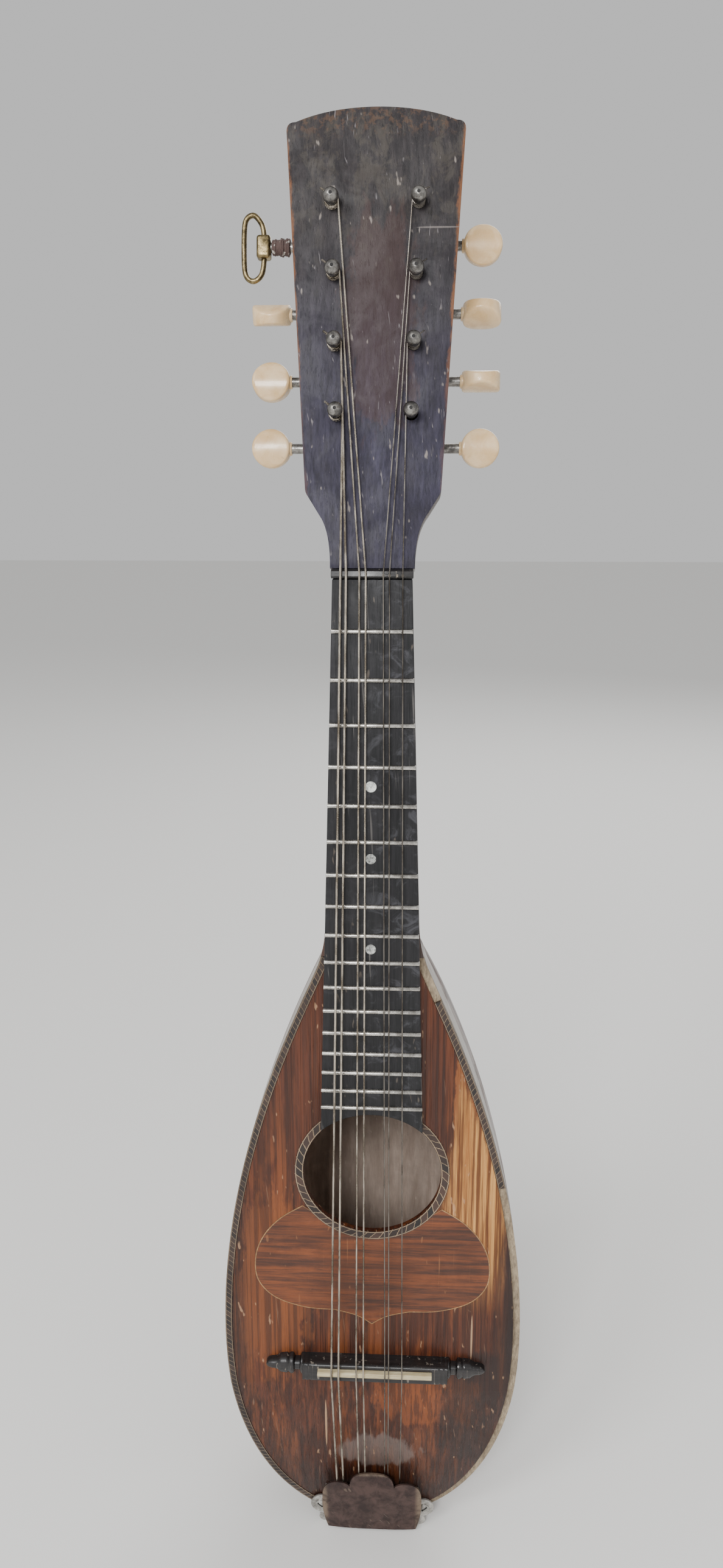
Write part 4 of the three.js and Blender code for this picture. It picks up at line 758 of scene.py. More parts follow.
def head_half_line():
    throat, shoulder_z, corner = NUT_HALF + 0.4 * MM, 27.6 * MM, HEAD_LENGTH - 4.7 * MM
    line = geometry.interpolate_bezier((throat, 0), (throat, 9.75 * MM), (throat + 1.5 * MM, 15.6 * MM),
                                       (throat + 4.5 * MM, 19.5 * MM), 12)
    line += [Vector((HEAD_SHOULDER - 1.2 * MM, shoulder_z - 2.6 * MM))]
    line += geometry.interpolate_bezier((HEAD_SHOULDER - 1 * MM, shoulder_z - 2.3 * MM),
                                        (HEAD_SHOULDER - 0.3 * MM, shoulder_z - 1.4 * MM),
                                        (HEAD_SHOULDER, shoulder_z - 0.3 * MM),
                                        (HEAD_SHOULDER, shoulder_z + 1 * MM), 6)
    line += geometry.interpolate_bezier((HEAD_HALF, corner - 3 * MM), (HEAD_HALF, corner - 1 * MM),
                                        (HEAD_HALF - 1 * MM, corner), (HEAD_HALF - 3 * MM, corner), 6)
    line += geometry.interpolate_bezier((HEAD_HALF - 3.2 * MM, corner),
                                        (HEAD_HALF * 0.64, HEAD_LENGTH - 1.5 * MM),
                                        (HEAD_HALF * 0.33, HEAD_LENGTH), (0, HEAD_LENGTH), 14)
    return line


def post_hole(x, z, radius, count=24):
    turns = [2 * math.pi * index / count for index in range(count)]
    return [(x + radius * math.cos(a), z + radius * math.sin(a)) for a in turns]


def drilled_plate(front, back, radius):
    holes = [post_hole(*post_place(side, index), radius)
             for side in (-1, 1) for index in range(1, POST_ROWS + 1)]
    return cut_plate([whole_loop(head_half_line())] + holes, front, back)


def set_in(bm, seat):
    bmesh.ops.transform(bm, matrix=seat, verts=bm.verts)


bm = drilled_plate(0.0, VENEER + 0.1 * MM, 2.5 * MM)
ease_edges(bm, 0.5 * MM, 3)
set_in(bm, HEAD_FRAME)
face_finish, tree, shader, spot = new_material("headstock_black_face")
figure = use(tree, FIGURE, Vector=stretched(tree, spot, (120, 120, 7)), Scale=5.0)
marks = use(tree, MARKS, Vector=spot, Slant=0.06)
place = put(tree, "SeparateXYZ", {0: spot}).outputs
up_mm = calc(tree, "MULTIPLY_ADD", place["Z"], 1000 / math.cos(HEAD_ANGLE),
             -1000 * HEAD_ORIGIN.z / math.cos(HEAD_ANGLE))
low_tone = tint(tree, figure["Lines"], srgb(36, 34, 47), srgb(62, 59, 76))
high_tone = tint(tree, figure["Lines"], srgb(27, 24, 26), srgb(54, 49, 50))
colour = tint(tree, step(tree, up_mm, 40.0, 125.0), low_tone, high_tone)
colour = stain(tree, colour, figure["Bands"], 0.35, srgb(30, 26, 30))
ruddy = oval_patch_mask(tree, spot, (2.0, 515.0), (13.0, 38.0), 2.0)
colour = stain(tree, colour, ruddy, 0.4, srgb(72, 50, 46))
mottle = step(tree, noise(tree, stretched(tree, spot, (160, 160, 90)), 1.0, 6.0, 0.75, 0.5), 0.48, 0.62)
mottle = calc(tree, "MULTIPLY", mottle, step(tree, up_mm, 85.0, 150.0, 0.1, 0.75))
colour = stain(tree, colour, mottle, 0.6, srgb(78, 72, 64))
edge_mm = calc(tree, "SUBTRACT", calc(tree, "MULTIPLY_ADD", up_mm, 0.0563, 22.65),
               calc(tree, "MULTIPLY", calc(tree, "ABSOLUTE", place["X"]), 1000.0))
ragged = noise(tree, stretched(tree, spot, (300, 300, 70)), 1.0, 6.0, 0.75)
ragged = calc(tree, "MULTIPLY_ADD", ragged, 5.5, -3.2)
wider_right = step(tree, place["X"], -0.01, 0.01, 0.0, 0.3)
edge_band = step(tree, calc(tree, "SUBTRACT", edge_mm, calc(tree, "ADD", ragged, wider_right)), 1.5, 0.3)
edge_band = calc(tree, "MULTIPLY", edge_band, step(tree, up_mm, 45.0, 90.0, 0.25, 1.0))
colour = stain(tree, colour, edge_band, 0.7, srgb(128, 82, 50))
crown = calc(tree, "MULTIPLY", step(tree, up_mm, 146.0, 152.0),
             step(tree, noise(tree, spot, 420.0, 4.0), 0.48, 0.6))
colour = stain(tree, colour, crown, 0.35, srgb(104, 76, 54))
crack = oval_patch_mask(tree, spot, (22.0, 545.6), (7.5, 0.3), 0.6)
colour = stain(tree, colour, crack, 0.6, srgb(128, 120, 116))
colour = stain(tree, colour, marks["Flecks"], 0.55, srgb(160, 150, 142))
colour = stain(tree, colour, marks["Scratches"], 0.5, srgb(146, 140, 142))
height = calc(tree, "SUBTRACT", figure["Height"], calc(tree, "MULTIPLY", marks["Scratches"], 0.5))
attach(tree, shader, colour, step(tree, marks["Grime"], 0.0, 1.0, 0.5, 0.72), height, 0.00015)
shader.inputs["Specular IOR Level"].default_value = 0.3
finished("headstock_face", bm, "instrument", [face_finish], ["headstock_veneer"])
bm = drilled_plate(VENEER + 0.2 * MM, HEAD_THICKNESS, 2.6 * MM)
ease_edges(bm, 0.8 * MM, 3)
set_in(bm, HEAD_FRAME)
finished("headstock_core", bm, "instrument", [neck_finish], ["headstock"])

# Tuning machines: on each side a steel plate on the back carries four worms between lugs;
# each turns a toothed wheel on a string post. The posts end in small balls with a string hole.
worn_steel = metal("worn_steel", srgb(92, 90, 88), srgb(158, 155, 150), (0.28, 0.5), 320.0, 0.00008,
                   srgb(84, 66, 52))
plate_steel = metal("plate_steel", srgb(98, 96, 94), srgb(150, 147, 143), (0.3, 0.5), 200.0, 0.0001,
                    srgb(92, 74, 58))
# Painted shade: a near-black finish standing for the shade inside the string holes of the post balls and the
# screw slots.
painted_hole_shade = metal("hole_painted_shade", srgb(14, 13, 13), srgb(30, 28, 27), (0.6, 0.9), 600.0, metallic=0.0)
WORM_DROP, SHAFT_BACK = 8.8 * MM, 17.8 * MM
TEETH = 14
PITCH = 2 * math.pi * 5.85 * MM / TEETH
POST_RADIUS, BALL_RADIUS, BALL_START = 1.9 * MM, 2.75 * MM, math.pi - 0.75
WORM_HALF, WORM_RADIUS, THREAD_POINTS, THREAD_TURNS = 3.9 * MM, 2.5 * MM, 46, 1.8
for side in ("left", "right"):
    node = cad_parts["tuner_plate_" + side]
    node.data.materials.clear()
    node.data.materials.append(plate_steel)


def in_mm(pairs):
    return [(first * MM, second * MM) for first, second in pairs]


def turned(profile, sides=32):
    bm = bmesh.new()
    verts = [bm.verts.new((radius, 0, height)) for radius, height in profile]
    edges = [bm.edges.new(pair) for pair in zip(verts, verts[1:])]
    bmesh.ops.spin(bm, geom=verts + edges, cent=(0, 0, 0), axis=(0, 0, 1), angle=2 * math.pi,
                   steps=sides, use_merge=True)
    bmesh.ops.remove_doubles(bm, verts=bm.verts, dist=1e-7)
    bmesh.ops.recalc_face_normals(bm, faces=bm.faces)
    return bm


def tube(points, radius, sides=3, closed=False, res=6):
    curve = bpy.data.curves.new("wire", "CURVE")
    curve.dimensions = "3D"
    curve.bevel_depth, curve.bevel_resolution, curve.resolution_u = radius, sides, res
    curve.use_fill_caps = not closed
    line = curve.splines.new("POLY")
    line.points.add(len(points) - 1)
    for slot, point in zip(line.points, points):
        slot.co = (*point, 1.0)
    line.use_cyclic_u = closed
    holder = bpy.data.objects.new("wire", curve)
    bpy.context.scene.collection.objects.link(holder)
    mesh = bpy.data.meshes.new_from_object(holder)
    bpy.data.objects.remove(holder)
    bm = bmesh.new()
    bm.from_mesh(mesh)
    bpy.data.meshes.remove(mesh)
    return bm


def gear_outline():
    line = []
    for tooth in range(TEETH):
        for radius, share in ((5.35, -0.25), (6.35, -0.13), (6.35, 0.13), (5.35, 0.25)):
            angle = -math.pi / 2 + (tooth + share) * 2 * math.pi / TEETH
            line.append((radius * MM * math.cos(angle), radius * MM * math.sin(angle)))
    return line


OUT_OF_FACE = Matrix.Rotation(math.pi / 2, 4, "X")
INTO_BACK = Matrix.Rotation(-math.pi / 2, 4, "X")
for side_sign, side in ((-1, "left"), (1, "right")):
    for index in range(1, POST_ROWS + 1):
        x, z = post_place(side_sign, index)
        seat = HEAD_FRAME @ Matrix.Translation((x, 0, z))
        rise = [BALL_START - BALL_START * k / 12 for k in range(12)]
        ball = [(BALL_RADIUS * math.sin(a), 6 * MM + BALL_RADIUS * math.cos(a)) for a in rise]
        stem = in_mm(((0.0, -20), (1.7, -20), (1.9, -19.6), (1.9, 2.4), (2.1, 2.8), (1.75, 3.4)))
        bm = turned(stem + ball + [(0.0, 8.75 * MM)])
        set_in(bm, OUT_OF_FACE)
        wheel = cut_plate([gear_outline()], SHAFT_BACK - 1.2 * MM, SHAFT_BACK + 1.2 * MM)
        ease_edges(wheel, 0.15 * MM, 1)
        join_into(bm, wheel)
        cap = turned([(0.0, SHAFT_BACK), (3.4 * MM, SHAFT_BACK), (3.2 * MM, SHAFT_BACK + 1.9 * MM),
                      (0.0, SHAFT_BACK + 2.1 * MM)], 20)
        set_in(cap, INTO_BACK)
        join_into(bm, cap)
        set_in(bm, seat)
        finished(f"string_post_{side}_{index}", bm, f"string_post_{side}_{index}", [worn_steel],
                 [f"post_{side}_{index}"], 0.8)
        # The string hole is a shallow dimple in the painted shade finish.
        dimple = turned(in_mm(((0.0, 8.82), (0.55, 8.8), (0.65, 8.6), (0.0, 8.5))), 16)
        set_in(dimple, seat @ OUT_OF_FACE)
        finished(f"post_dimple_{side}_{index}", dimple, f"string_post_{side}_{index}", [painted_hole_shade])

        looped = side == "left" and index == 1
        reach = (38.5 if looped else 35.9) * MM - abs(x)
        ends = [(1.8 * MM, -WORM_HALF), (2.1 * MM, -WORM_HALF), (2.1 * MM, WORM_HALF),
                (1.8 * MM, WORM_HALF), (1.8 * MM, reach), (0.0, reach)]
        core = turned(in_mm(((0.0, -6.3), (1.6, -6.3), (1.8, -6.0))) + ends)
        set_in(core, Matrix.Rotation(side_sign * math.pi / 2, 4, "Y"))
        coil = []
        for k in range(THREAD_POINTS):
            turn = (k / (THREAD_POINTS - 1) - 0.5) * THREAD_TURNS
            a = 2 * math.pi * turn
            coil.append(((turn + 0.5) * PITCH, -WORM_RADIUS * math.sin(a), WORM_RADIUS * math.cos(a)))
        join_into(core, tube(coil, 0.55 * MM))
        hub = HEAD_FRAME @ Matrix.Translation((x, SHAFT_BACK, z - WORM_DROP))
        set_in(core, hub)
        finished(f"worm_shaft_turned_{side}_{index}", core, f"tuner_{side}_{index}", [worn_steel],
                 [f"worm_shaft_{side}_{index}"], 0.8)

# The plate screws: ten domed, slotted steel wood screws that hold the two tuner plates to the
# back of the headstock, each left at its own angle.
SCREW_HEIGHTS = [POST_LOW - 12.6 * MM] + [POST_LOW + row * POST_STEP + 10.7 * MM for row in range(3)]
SCREW_HEIGHTS += [POST_LOW + 3 * POST_STEP + 4.3 * MM]


def slotted_screw(profile, sides, slot_half, slot_top, slot_reach):
    screw = turned(in_mm(profile), sides)
    # The slot is a thin bar given the second material, the painted shade.
    slot = bar_along_x([(-slot_half, 0.5 * MM), (slot_half, 0.5 * MM), (slot_half, slot_top),
                        (-slot_half, slot_top)], -slot_reach, slot_reach)
    for face in slot.faces:
        face.material_index = 1
    join_into(screw, slot)
    return screw


for side_sign, side in ((-1, "left"), (1, "right")):
    for row, z in enumerate(SCREW_HEIGHTS):
        bm = slotted_screw(((0.0, -0.6), (1.9, -0.6), (1.9, 0.0), (1.5, 0.55), (0.8, 0.85), (0.0, 0.95)), 20,
                           0.22 * MM, 0.99 * MM, 1.3 * MM)
        seat = HEAD_FRAME @ Matrix.Translation((side_sign * 9.3 * MM, 14.35 * MM, z))
        set_in(bm, seat @ INTO_BACK @ Matrix.Rotation(0.7 * row + side_sign, 4, "Z"))
        finished(f"plate_screw_{side}_{row + 1}", bm, "instrument", [worn_steel, painted_hole_shade])

# The seven buttons: turned discs of ivory-coloured plastic, thick in the middle and thin at
# the rim, each with a short neck that takes its shaft.
button_cream, tree, shader, spot = new_material("button_ivory")
cloud = noise(tree, spot, 130.0, 5.0, 0.6, 0.6)
marks = use(tree, MARKS, Vector=spot, Slant=0.9)
colour = tint(tree, step(tree, cloud, 0.3, 0.7), srgb(206, 170, 120), srgb(228, 200, 158))
colour = stain(tree, colour, marks["Flecks"], 0.35, srgb(150, 112, 76))
attach(tree, shader, colour, step(tree, marks["Grime"], 0.0, 1.0, 0.26, 0.42), cloud, 0.00005)
shader.inputs["Coat Weight"].default_value = 0.15
shader.inputs["Subsurface Weight"].default_value = 0.08
shader.inputs["Subsurface Radius"].default_value = (0.004, 0.002, 0.001)
BUTTON_TURNS = {"left": (0, -64, -2, 4), "right": (6, 72, 90, 5)}
BUTTON_RADIUS, BUTTON_THINNING, BUTTON_OUT = 7 * MM, 0.52, 38.2 * MM
for side_sign, side in ((-1, "left"), (1, "right")):
    for index in range(1, POST_ROWS + 1):
        if side == "left" and index == 1:
            continue
        x, z = post_place(side_sign, index)
        profile = [(6.4 * MM * k / 9, 3.5 * MM) for k in range(10)]
        profile += in_mm(((6.75, 3.3), (6.93, 2.9), (7.0, 2.3), (7.0, 0.0)))
        profile += [(radius, -height) for radius, height in reversed(profile[:-1])]
        bm = turned(profile, 56)
        set_in(bm, OUT_OF_FACE)
        for vert in bm.verts:
            vert.co.y *= 1 - BUTTON_THINNING * (abs(vert.co.z) / BUTTON_RADIUS) ** 2.0
        stem = turned(in_mm(((0.0, -7.6), (2.3, -7.6), (2.5, -7.2), (2.6, -5.4), (0.0, -5.2))), 28)
        set_in(stem, Matrix.Rotation(side_sign * math.pi / 2, 4, "Y"))
        join_into(bm, stem)
        turn = Matrix.Rotation(math.radians(BUTTON_TURNS[side][index - 1]), 4, "X")
        seat = HEAD_FRAME @ Matrix.Translation((side_sign * BUTTON_OUT, SHAFT_BACK, z - WORM_DROP)) @ turn
        set_in(bm, seat)
        finished(f"button_turned_{side}_{index}", bm, f"tuner_{side}_{index}", [button_cream],
                 [f"button_{side}_{index}"], 0.9)

# The mended tuner: in place of a button the first shaft is bound with waxed thread and ends
# in a brass collar, through which a bent brass wire loop swings.
x, z = post_place(-1, 1)
loop_seat = HEAD_FRAME @ Matrix.Translation((0, SHAFT_BACK, z - WORM_DROP))
COLLAR_X = -41.1 * MM
THREAD_START, THREAD_LENGTH, THREAD_LAPS, LAP_POINTS = -31.6 * MM, 6.3 * MM, 9, 220
thread_finish, tree, shader, spot = new_material("waxed_thread")
fibres = noise(tree, stretched(tree, spot, (2400, 500, 500)), 1.0, 4.0, 0.6)
wax = step(tree, noise(tree, spot, 480.0, 4.0, 0.6), 0.58, 0.66)
colour = tint(tree, fibres, srgb(52, 38, 38), srgb(104, 84, 78))
colour = stain(tree, colour, wax, 0.85, srgb(206, 200, 190))
attach(tree, shader, colour, step(tree, wax, 0.0, 1.0, 0.85, 0.25), fibres, 0.0002)
coil = []
for k in range(LAP_POINTS):
    share = k / (LAP_POINTS - 1)
    swell = 2.45 * MM + 0.3 * MM * math.sin(share * 17.0) + 0.25 * MM * math.sin(share * 5.0)
    a = 2 * math.pi * THREAD_LAPS * share
    coil.append((THREAD_START - THREAD_LENGTH * share, swell * math.cos(a), swell * math.sin(a)))
bm = tube(coil, 0.42 * MM)
sleeve = turned(in_mm(((1.9, 31.3), (2.6, 31.6), (2.7, 37.9), (1.9, 38.2))), 24)
bmesh.ops.holes_fill(sleeve, edges=[edge for edge in sleeve.edges if edge.is_boundary])
set_in(sleeve, Matrix.Rotation(-math.pi / 2, 4, "Y"))
join_into(bm, sleeve)
set_in(bm, loop_seat)
finished("thread_binding", bm, "tuner_left_1", [thread_finish], ["thread_wrap"])
aged_brass = metal("aged_brass", srgb(84, 74, 52), srgb(150, 134, 98), (0.25, 0.45), 420.0, 0.00008,
                   srgb(70, 56, 38))
bm = bmesh.new()
bmesh.ops.create_cube(bm, size=1.0)
bmesh.ops.scale(bm, vec=(5.2 * MM, 5.2 * MM, 8.2 * MM), verts=bm.verts)
bmesh.ops.bevel(bm, geom=bm.edges[:], offset=1.1 * MM, offset_type="OFFSET", segments=3, profile=0.5,
                affect="EDGES", clamp_overlap=True, material=-1)
bmesh.ops.translate(bm, vec=(COLLAR_X, 0, 0), verts=bm.verts)
set_in(bm, loop_seat)
finished("loop_collar_brass", bm, "tuner_left_1", [aged_brass], ["loop_collar"])
knots = [(0, 0.0), (0, 4.6), (-0.9, 8.4), (-3.6, 11.4), (-6.3, 10.2), (-7.2, 6), (-7.2, -6), (-6.2, -10.4),
         (-3.6, -11.7), (-0.9, -9.4), (0, -4.6)]
route = []
for index in range(len(knots)):
    p = [Vector(knots[(index + k) % len(knots)]) for k in (-1, 0, 1, 2)]
    handles = p[1] + (p[2] - p[0]) / 6, p[2] - (p[3] - p[1]) / 6
    route += geometry.interpolate_bezier(p[1], handles[0], handles[1], p[2], 9)[:-1]
bm = tube([(COLLAR_X + p.x * MM, 0, p.y * MM) for p in route], 1.0 * MM, 4, True)
set_in(bm, loop_seat)
finished("loop_wire_brass", bm, "brass_loop", [aged_brass], ["brass_loop"])

# The bridge: one carved piece of black wood held down by the strings, with a straight middle
# that carries the saddle and a waist, bead and point at each end.
BRIDGE_X, BRIDGE_Z, BRIDGE_HALF_DEPTH = 1.5 * MM, 92.3 * MM, 4.45 * MM
BLOCK_HALF, BRIDGE_HALF = 31 * MM, 46.8 * MM
WING_STEPS = ((0.0, 1.0), (0.8, 0.98), (1.3, 0.6), (3.4, 0.56), (4.0, 0.96), (5.2, 1.0), (6.2, 0.82),
              (6.9, 0.95), (9.6, 0.86), (11.0, 0.6), (12.0, 0.52), (13.4, 0.5), (15.0, 0.36), (15.8, 0.14))


def wing_half(beyond):
    for (low, start), (high, end) in zip(WING_STEPS, WING_STEPS[1:]):
        if low <= beyond / MM <= high:
            return BRIDGE_HALF_DEPTH * (start + (end - start) * (beyond / MM - low) / (high - low))
    return BRIDGE_HALF_DEPTH * WING_STEPS[-1][1]


def bridge_point(around, along):
    x = -BRIDGE_HALF + 2 * BRIDGE_HALF * along
    beyond = abs(x) - BLOCK_HALF
    if beyond <= 0:
        scored = 0.12 * MM if min(abs(beyond + cut * MM) for cut in (1.2, 3.2)) < 0.25 * MM else 0.0
        half, height, power = BRIDGE_HALF_DEPTH - scored, 7.4 * MM - 2 * scored, 7.0
    else:
        half = wing_half(beyond)
        height = (2.6 + 2.4 * half / BRIDGE_HALF_DEPTH) * MM
        power = 2.8
    angle = math.pi * around
    z = half * math.copysign(abs(math.cos(angle)) ** (2 / power), math.cos(angle))
    y = height * math.sin(angle) ** (2 / power)
    return Vector((BRIDGE_X + x, TOP_Y - y, BRIDGE_Z + z))


bm = sweep_grid(40, 234, bridge_point)
bmesh.ops.holes_fill(bm, edges=[edge for edge in bm.edges if edge.is_boundary])
finished("bridge_carved", bm, "instrument", [black_wood], ["bridge"], 0.75)

# The saddle: a rounded strip of yellowed bone let into the middle of the bridge, which the
# strings press down.
bone_finish, tree, shader, spot = new_material("saddle_bone")
figure = use(tree, FIGURE, Vector=stretched(tree, spot, (12, 160, 160)), Scale=6.0)
marks = use(tree, MARKS, Vector=spot, Slant=1.3)
colour = tint(tree, figure["Lines"], srgb(188, 172, 132), srgb(226, 214, 178))
colour = stain(tree, colour, marks["Grime"], 0.45, srgb(150, 128, 92))
colour = stain(tree, colour, marks["Flecks"], 0.7, srgb(92, 70, 46))
attach(tree, shader, colour, step(tree, marks["Grime"], 0.0, 1.0, 0.3, 0.5), figure["Height"], 0.0001)
shader.inputs["Subsurface Weight"].default_value = 0.06
SADDLE_Z, SADDLE_TOP = BRIDGE_Z + 1.3 * MM, TOP_Y - 9.8 * MM
bm = bar_along_x([(TOP_Y - 4.4 * MM, SADDLE_Z - 1.15 * MM), (SADDLE_TOP + 0.3 * MM, SADDLE_Z - 1.15 * MM),
                  (SADDLE_TOP, SADDLE_Z - 0.7 * MM), (SADDLE_TOP, SADDLE_Z + 0.7 * MM),
                  (SADDLE_TOP + 0.3 * MM, SADDLE_Z + 1.15 * MM), (TOP_Y - 4.4 * MM, SADDLE_Z + 1.15 * MM)],
                 BRIDGE_X - 24.2 * MM, BRIDGE_X + 24.2 * MM)
ease_edges(bm, 0.25 * MM)
finished("saddle_strip", bm, "instrument", [bone_finish], ["saddle"])

# The strings: two wound G, two wound D, and three plain steel ones (the eighth is missing).
# Each hooks under the tailpiece, crosses saddle and nut and winds round the inside of its post.
STRINGS = (("string_g_outer", -11.2, -18.2, 0.45, -1, 4, 1.5),
           ("string_g_inner", -9.2, -15.2, 0.45, -1, 3, 2.6),
           ("string_d_outer", -4.5, -7.7, 0.35, -1, 2, 2.6),
           ("string_d_inner", -2.2, -4.7, 0.35, -1, 1, 2.6),
           ("string_a_inner", 4.0, 4.4, 0.25, 1, 1, 2.6),
           ("string_a_outer", 6.2, 6.0, 0.25, 1, 2, 2.6),
           ("string_e", 10.9, 11.6, 0.25, 1, 3, 2.6))
LAP_STEPS, STRING_TAIL_Z, HOOK_SPREAD = 16, 9.5 * MM, 0.92


def wire_finish(name, dull, bright, wound):
    made, tree, shader, spot = new_material(name)
    tarnish = noise(tree, stretched(tree, spot, (300, 300, 60)), 1.0, 5.0, 0.7)
    colour = tint(tree, step(tree, tarnish, 0.35, 0.62), dull, bright)
    place = put(tree, "SeparateXYZ", {0: spot}).outputs
    coil = calc(tree, "ABSOLUTE", calc(tree, "SINE", calc(tree, "MULTIPLY", place["Z"], math.pi / wound)))
    # Painted shade: the grooves between the windings are darkened along the wire.
    colour = stain(tree, colour, calc(tree, "SUBTRACT", 1.0, coil), 0.25, srgb(60, 52, 44))
    shader.inputs["Metallic"].default_value = 1.0
    attach(tree, shader, colour, step(tree, tarnish, 0.3, 0.7, 0.2, 0.42), coil, 0.00008)
    return made


wound_wire = wire_finish("wound_string", srgb(130, 120, 106), srgb(214, 204, 188), 0.36 * MM)
plain_wire = wire_finish("plain_string", srgb(86, 80, 74), srgb(150, 144, 136), 9.0)
for name, nut_x, saddle_x, radius, side_sign, index, lift in STRINGS:
    r = radius * MM
    px, pz = post_place(side_sign, index)
    side = "left" if side_sign < 0 else "right"
    end = HEAD_FRAME @ Vector((px - side_sign * (POST_RADIUS + r), -lift * MM, pz))
    over_nut = NUT_TOP - 0.3 * MM - r
    over_saddle = SADDLE_TOP - 0.3 * MM - r
    tail_y = TOP_Y + drop(STRING_TAIL_Z) - 1.9 * MM
    route = [Vector((BRIDGE_X + saddle_x * HOOK_SPREAD * MM, tail_y, STRING_TAIL_Z)),
             Vector((BRIDGE_X + saddle_x * MM, over_saddle + 0.15 * MM, SADDLE_Z - 1.2 * MM)),
             Vector((BRIDGE_X + saddle_x * MM, over_saddle, SADDLE_Z)),
             Vector((nut_x * MM, over_nut, NUT_Z + 0.6 * MM)),
             Vector((nut_x * MM, over_nut + 0.1 * MM, NUT_Z + 2.0 * MM)), end]
    finish = wound_wire if radius > 0.3 else plain_wire
    finished(name + "_wire", tube(route, r, 2), "instrument", [finish], [name])
    turns = 4.5 if radius > 0.3 else 6.5
    coil = []
    start = 0.0 if side_sign < 0 else math.pi
    for k in range(int(turns * LAP_STEPS)):
        a = 2 * math.pi * turns * k / (turns * LAP_STEPS)
        back = -lift * MM + 2 * r * 1.02 * turns * k / (turns * LAP_STEPS)
        coil.append((px + (POST_RADIUS + r) * math.cos(start + a), min(back, 0.9 * MM),
                     pz + (POST_RADIUS + r) * math.sin(start + a)))
    bm = tube(coil, r, 2)
    stub = tube([(px - 0.3 * MM, -5.0 * MM, pz), (px + side_sign * 2.4 * MM, -5.9 * MM, pz + 1.8 * MM),
                 (px + side_sign * 3.6 * MM, -4.4 * MM, pz + 3.0 * MM)], r, 2)
    join_into(bm, stub)
    set_in(bm, HEAD_FRAME)
    finished(name + "_winding", bm, f"string_post_{side}_{index}", [finish])
    hook_x = BRIDGE_X + saddle_x * HOOK_SPREAD * MM
    hook = [(hook_x + 1.4 * MM * math.sin(a), tail_y, 7.4 * MM + 2.1 * MM * math.cos(a))
            for a in [2 * math.pi * k / 20 for k in range(20)]]
    finished(name + "_loop_end", tube(hook, r * 0.8, 2, True), "instrument", [finish])

# The tailpiece: a stamped steel plate with round ears, screwed over the tail edge, eight hooks
# for the strings, and a thin dark bronze cover that hinges at the foot.
silver = metal("tail_silver", srgb(140, 137, 132), srgb(204, 201, 195), (0.3, 0.5), 260.0, 0.0001,
               srgb(96, 82, 70), 0.7)
PLATE_FRONT_Y, PLATE_BACK_Y, PLATE_HALF = TOP_Y - 1.3 * MM, TOP_Y - 0.3 * MM, 21 * MM
HINGE_Z, HINGE_Y = 2.6 * MM, TOP_Y + drop(2.6 * MM) - 2.9 * MM
BARREL_RADIUS, FOOT_DEPTH, EAR_Z = 1.2 * MM, 17 * MM, 10.4 * MM


def ear_line(sign):
    points = []
    for centre_x, centre_z, radius, low, high in ((21.6, 2.6, 2.5, -90, 62), (22.8, 10.4, 5.0, -62, 100)):
        for k in range(13):
            a = math.radians(low + (high - low) * k / 12)
            points.append((sign * (centre_x + radius * math.cos(a)) * MM,
                           (centre_z + radius * math.sin(a)) * MM))
    return points + [(sign * PLATE_HALF, 16.6 * MM), (sign * PLATE_HALF, 22 * MM)]


def barrel(low, high):
    turns = [2 * math.pi * k / 20 for k in range(20)]
    circle = [(HINGE_Y + BARREL_RADIUS * math.cos(a), HINGE_Z + BARREL_RADIUS * math.sin(a)) for a in turns]
    return bar_along_x(circle, low, high)


right = [(PLATE_HALF, 0.0)] + ear_line(1)
outline = right + [(-x, z) for x, z in reversed(right)]
bm = cut_plate([outline], PLATE_FRONT_Y, PLATE_BACK_Y)
ease_edges(bm, 0.3 * MM)
lean_back(bm)
foot_front = TOP_Y + drop(0.0) - 1.3 * MM
foot = bar_along_x([(foot_front, 0.0), (foot_front + FOOT_DEPTH, 0.0),
                    (foot_front + FOOT_DEPTH, 1.0 * MM), (foot_front, 1.0 * MM)], -PLATE_HALF, PLATE_HALF)
ease_edges(foot, 0.25 * MM)
join_into(bm, foot)
for sign in (-1, 1):
    low, high = sorted((sign * 14.8 * MM, sign * 17.2 * MM))
    join_into(bm, barrel(low, high))
    web = bar_along_x([(HINGE_Y, HINGE_Z - 1.1 * MM), (HINGE_Y + 1.9 * MM, HINGE_Z - 1.1 * MM),
                       (HINGE_Y + 1.9 * MM, HINGE_Z + 1.1 * MM), (HINGE_Y, HINGE_Z + 1.1 * MM)], low, high)
    join_into(bm, web)
for k in range(8):
    x = (-17.5 + 5 * k) * MM
    under = TOP_Y + drop(7 * MM)
    hook = tube([(x, under - 1.0 * MM, 6.2 * MM), (x, under - 2.6 * MM, 6.4 * MM),
                 (x, under - 3.4 * MM, 5.2 * MM)], 0.55 * MM)
    join_into(bm, hook)
finished("tailpiece_plate", bm, "instrument", [silver], ["tailpiece_base"], 0.7)
pin = turned(in_mm(((0.0, -17.3), (0.6, -17.3), (0.6, 17.3), (0.0, 17.3))), 20)
set_in(pin, Matrix.Translation((0, HINGE_Y, HINGE_Z)) @ Matrix.Rotation(math.pi / 2, 4, "Y"))
finished("tailpiece_pin", pin, "instrument", [silver], ["tailpiece_hinge_pin"])
for sign, side in ((-1, "left"), (1, "right")):
    bm = slotted_screw(((0.0, -0.2), (2.2, -0.2), (2.1, 0.35), (1.2, 0.8), (0.0, 0.95)), 24,
                       0.25 * MM, 1.0 * MM, 1.5 * MM)
    seat = Matrix.Translation(Vector((sign * 23.6 * MM, PLATE_FRONT_Y + drop(EAR_Z), EAR_Z)))
    tilt = Matrix.Rotation(math.pi / 2 + math.radians(6), 4, "X")
    set_in(bm, seat @ tilt @ Matrix.Rotation(0.8 * sign, 4, "Z"))
    finished(f"tailpiece_screw_{side}", bm, "instrument", [silver, painted_hole_shade])


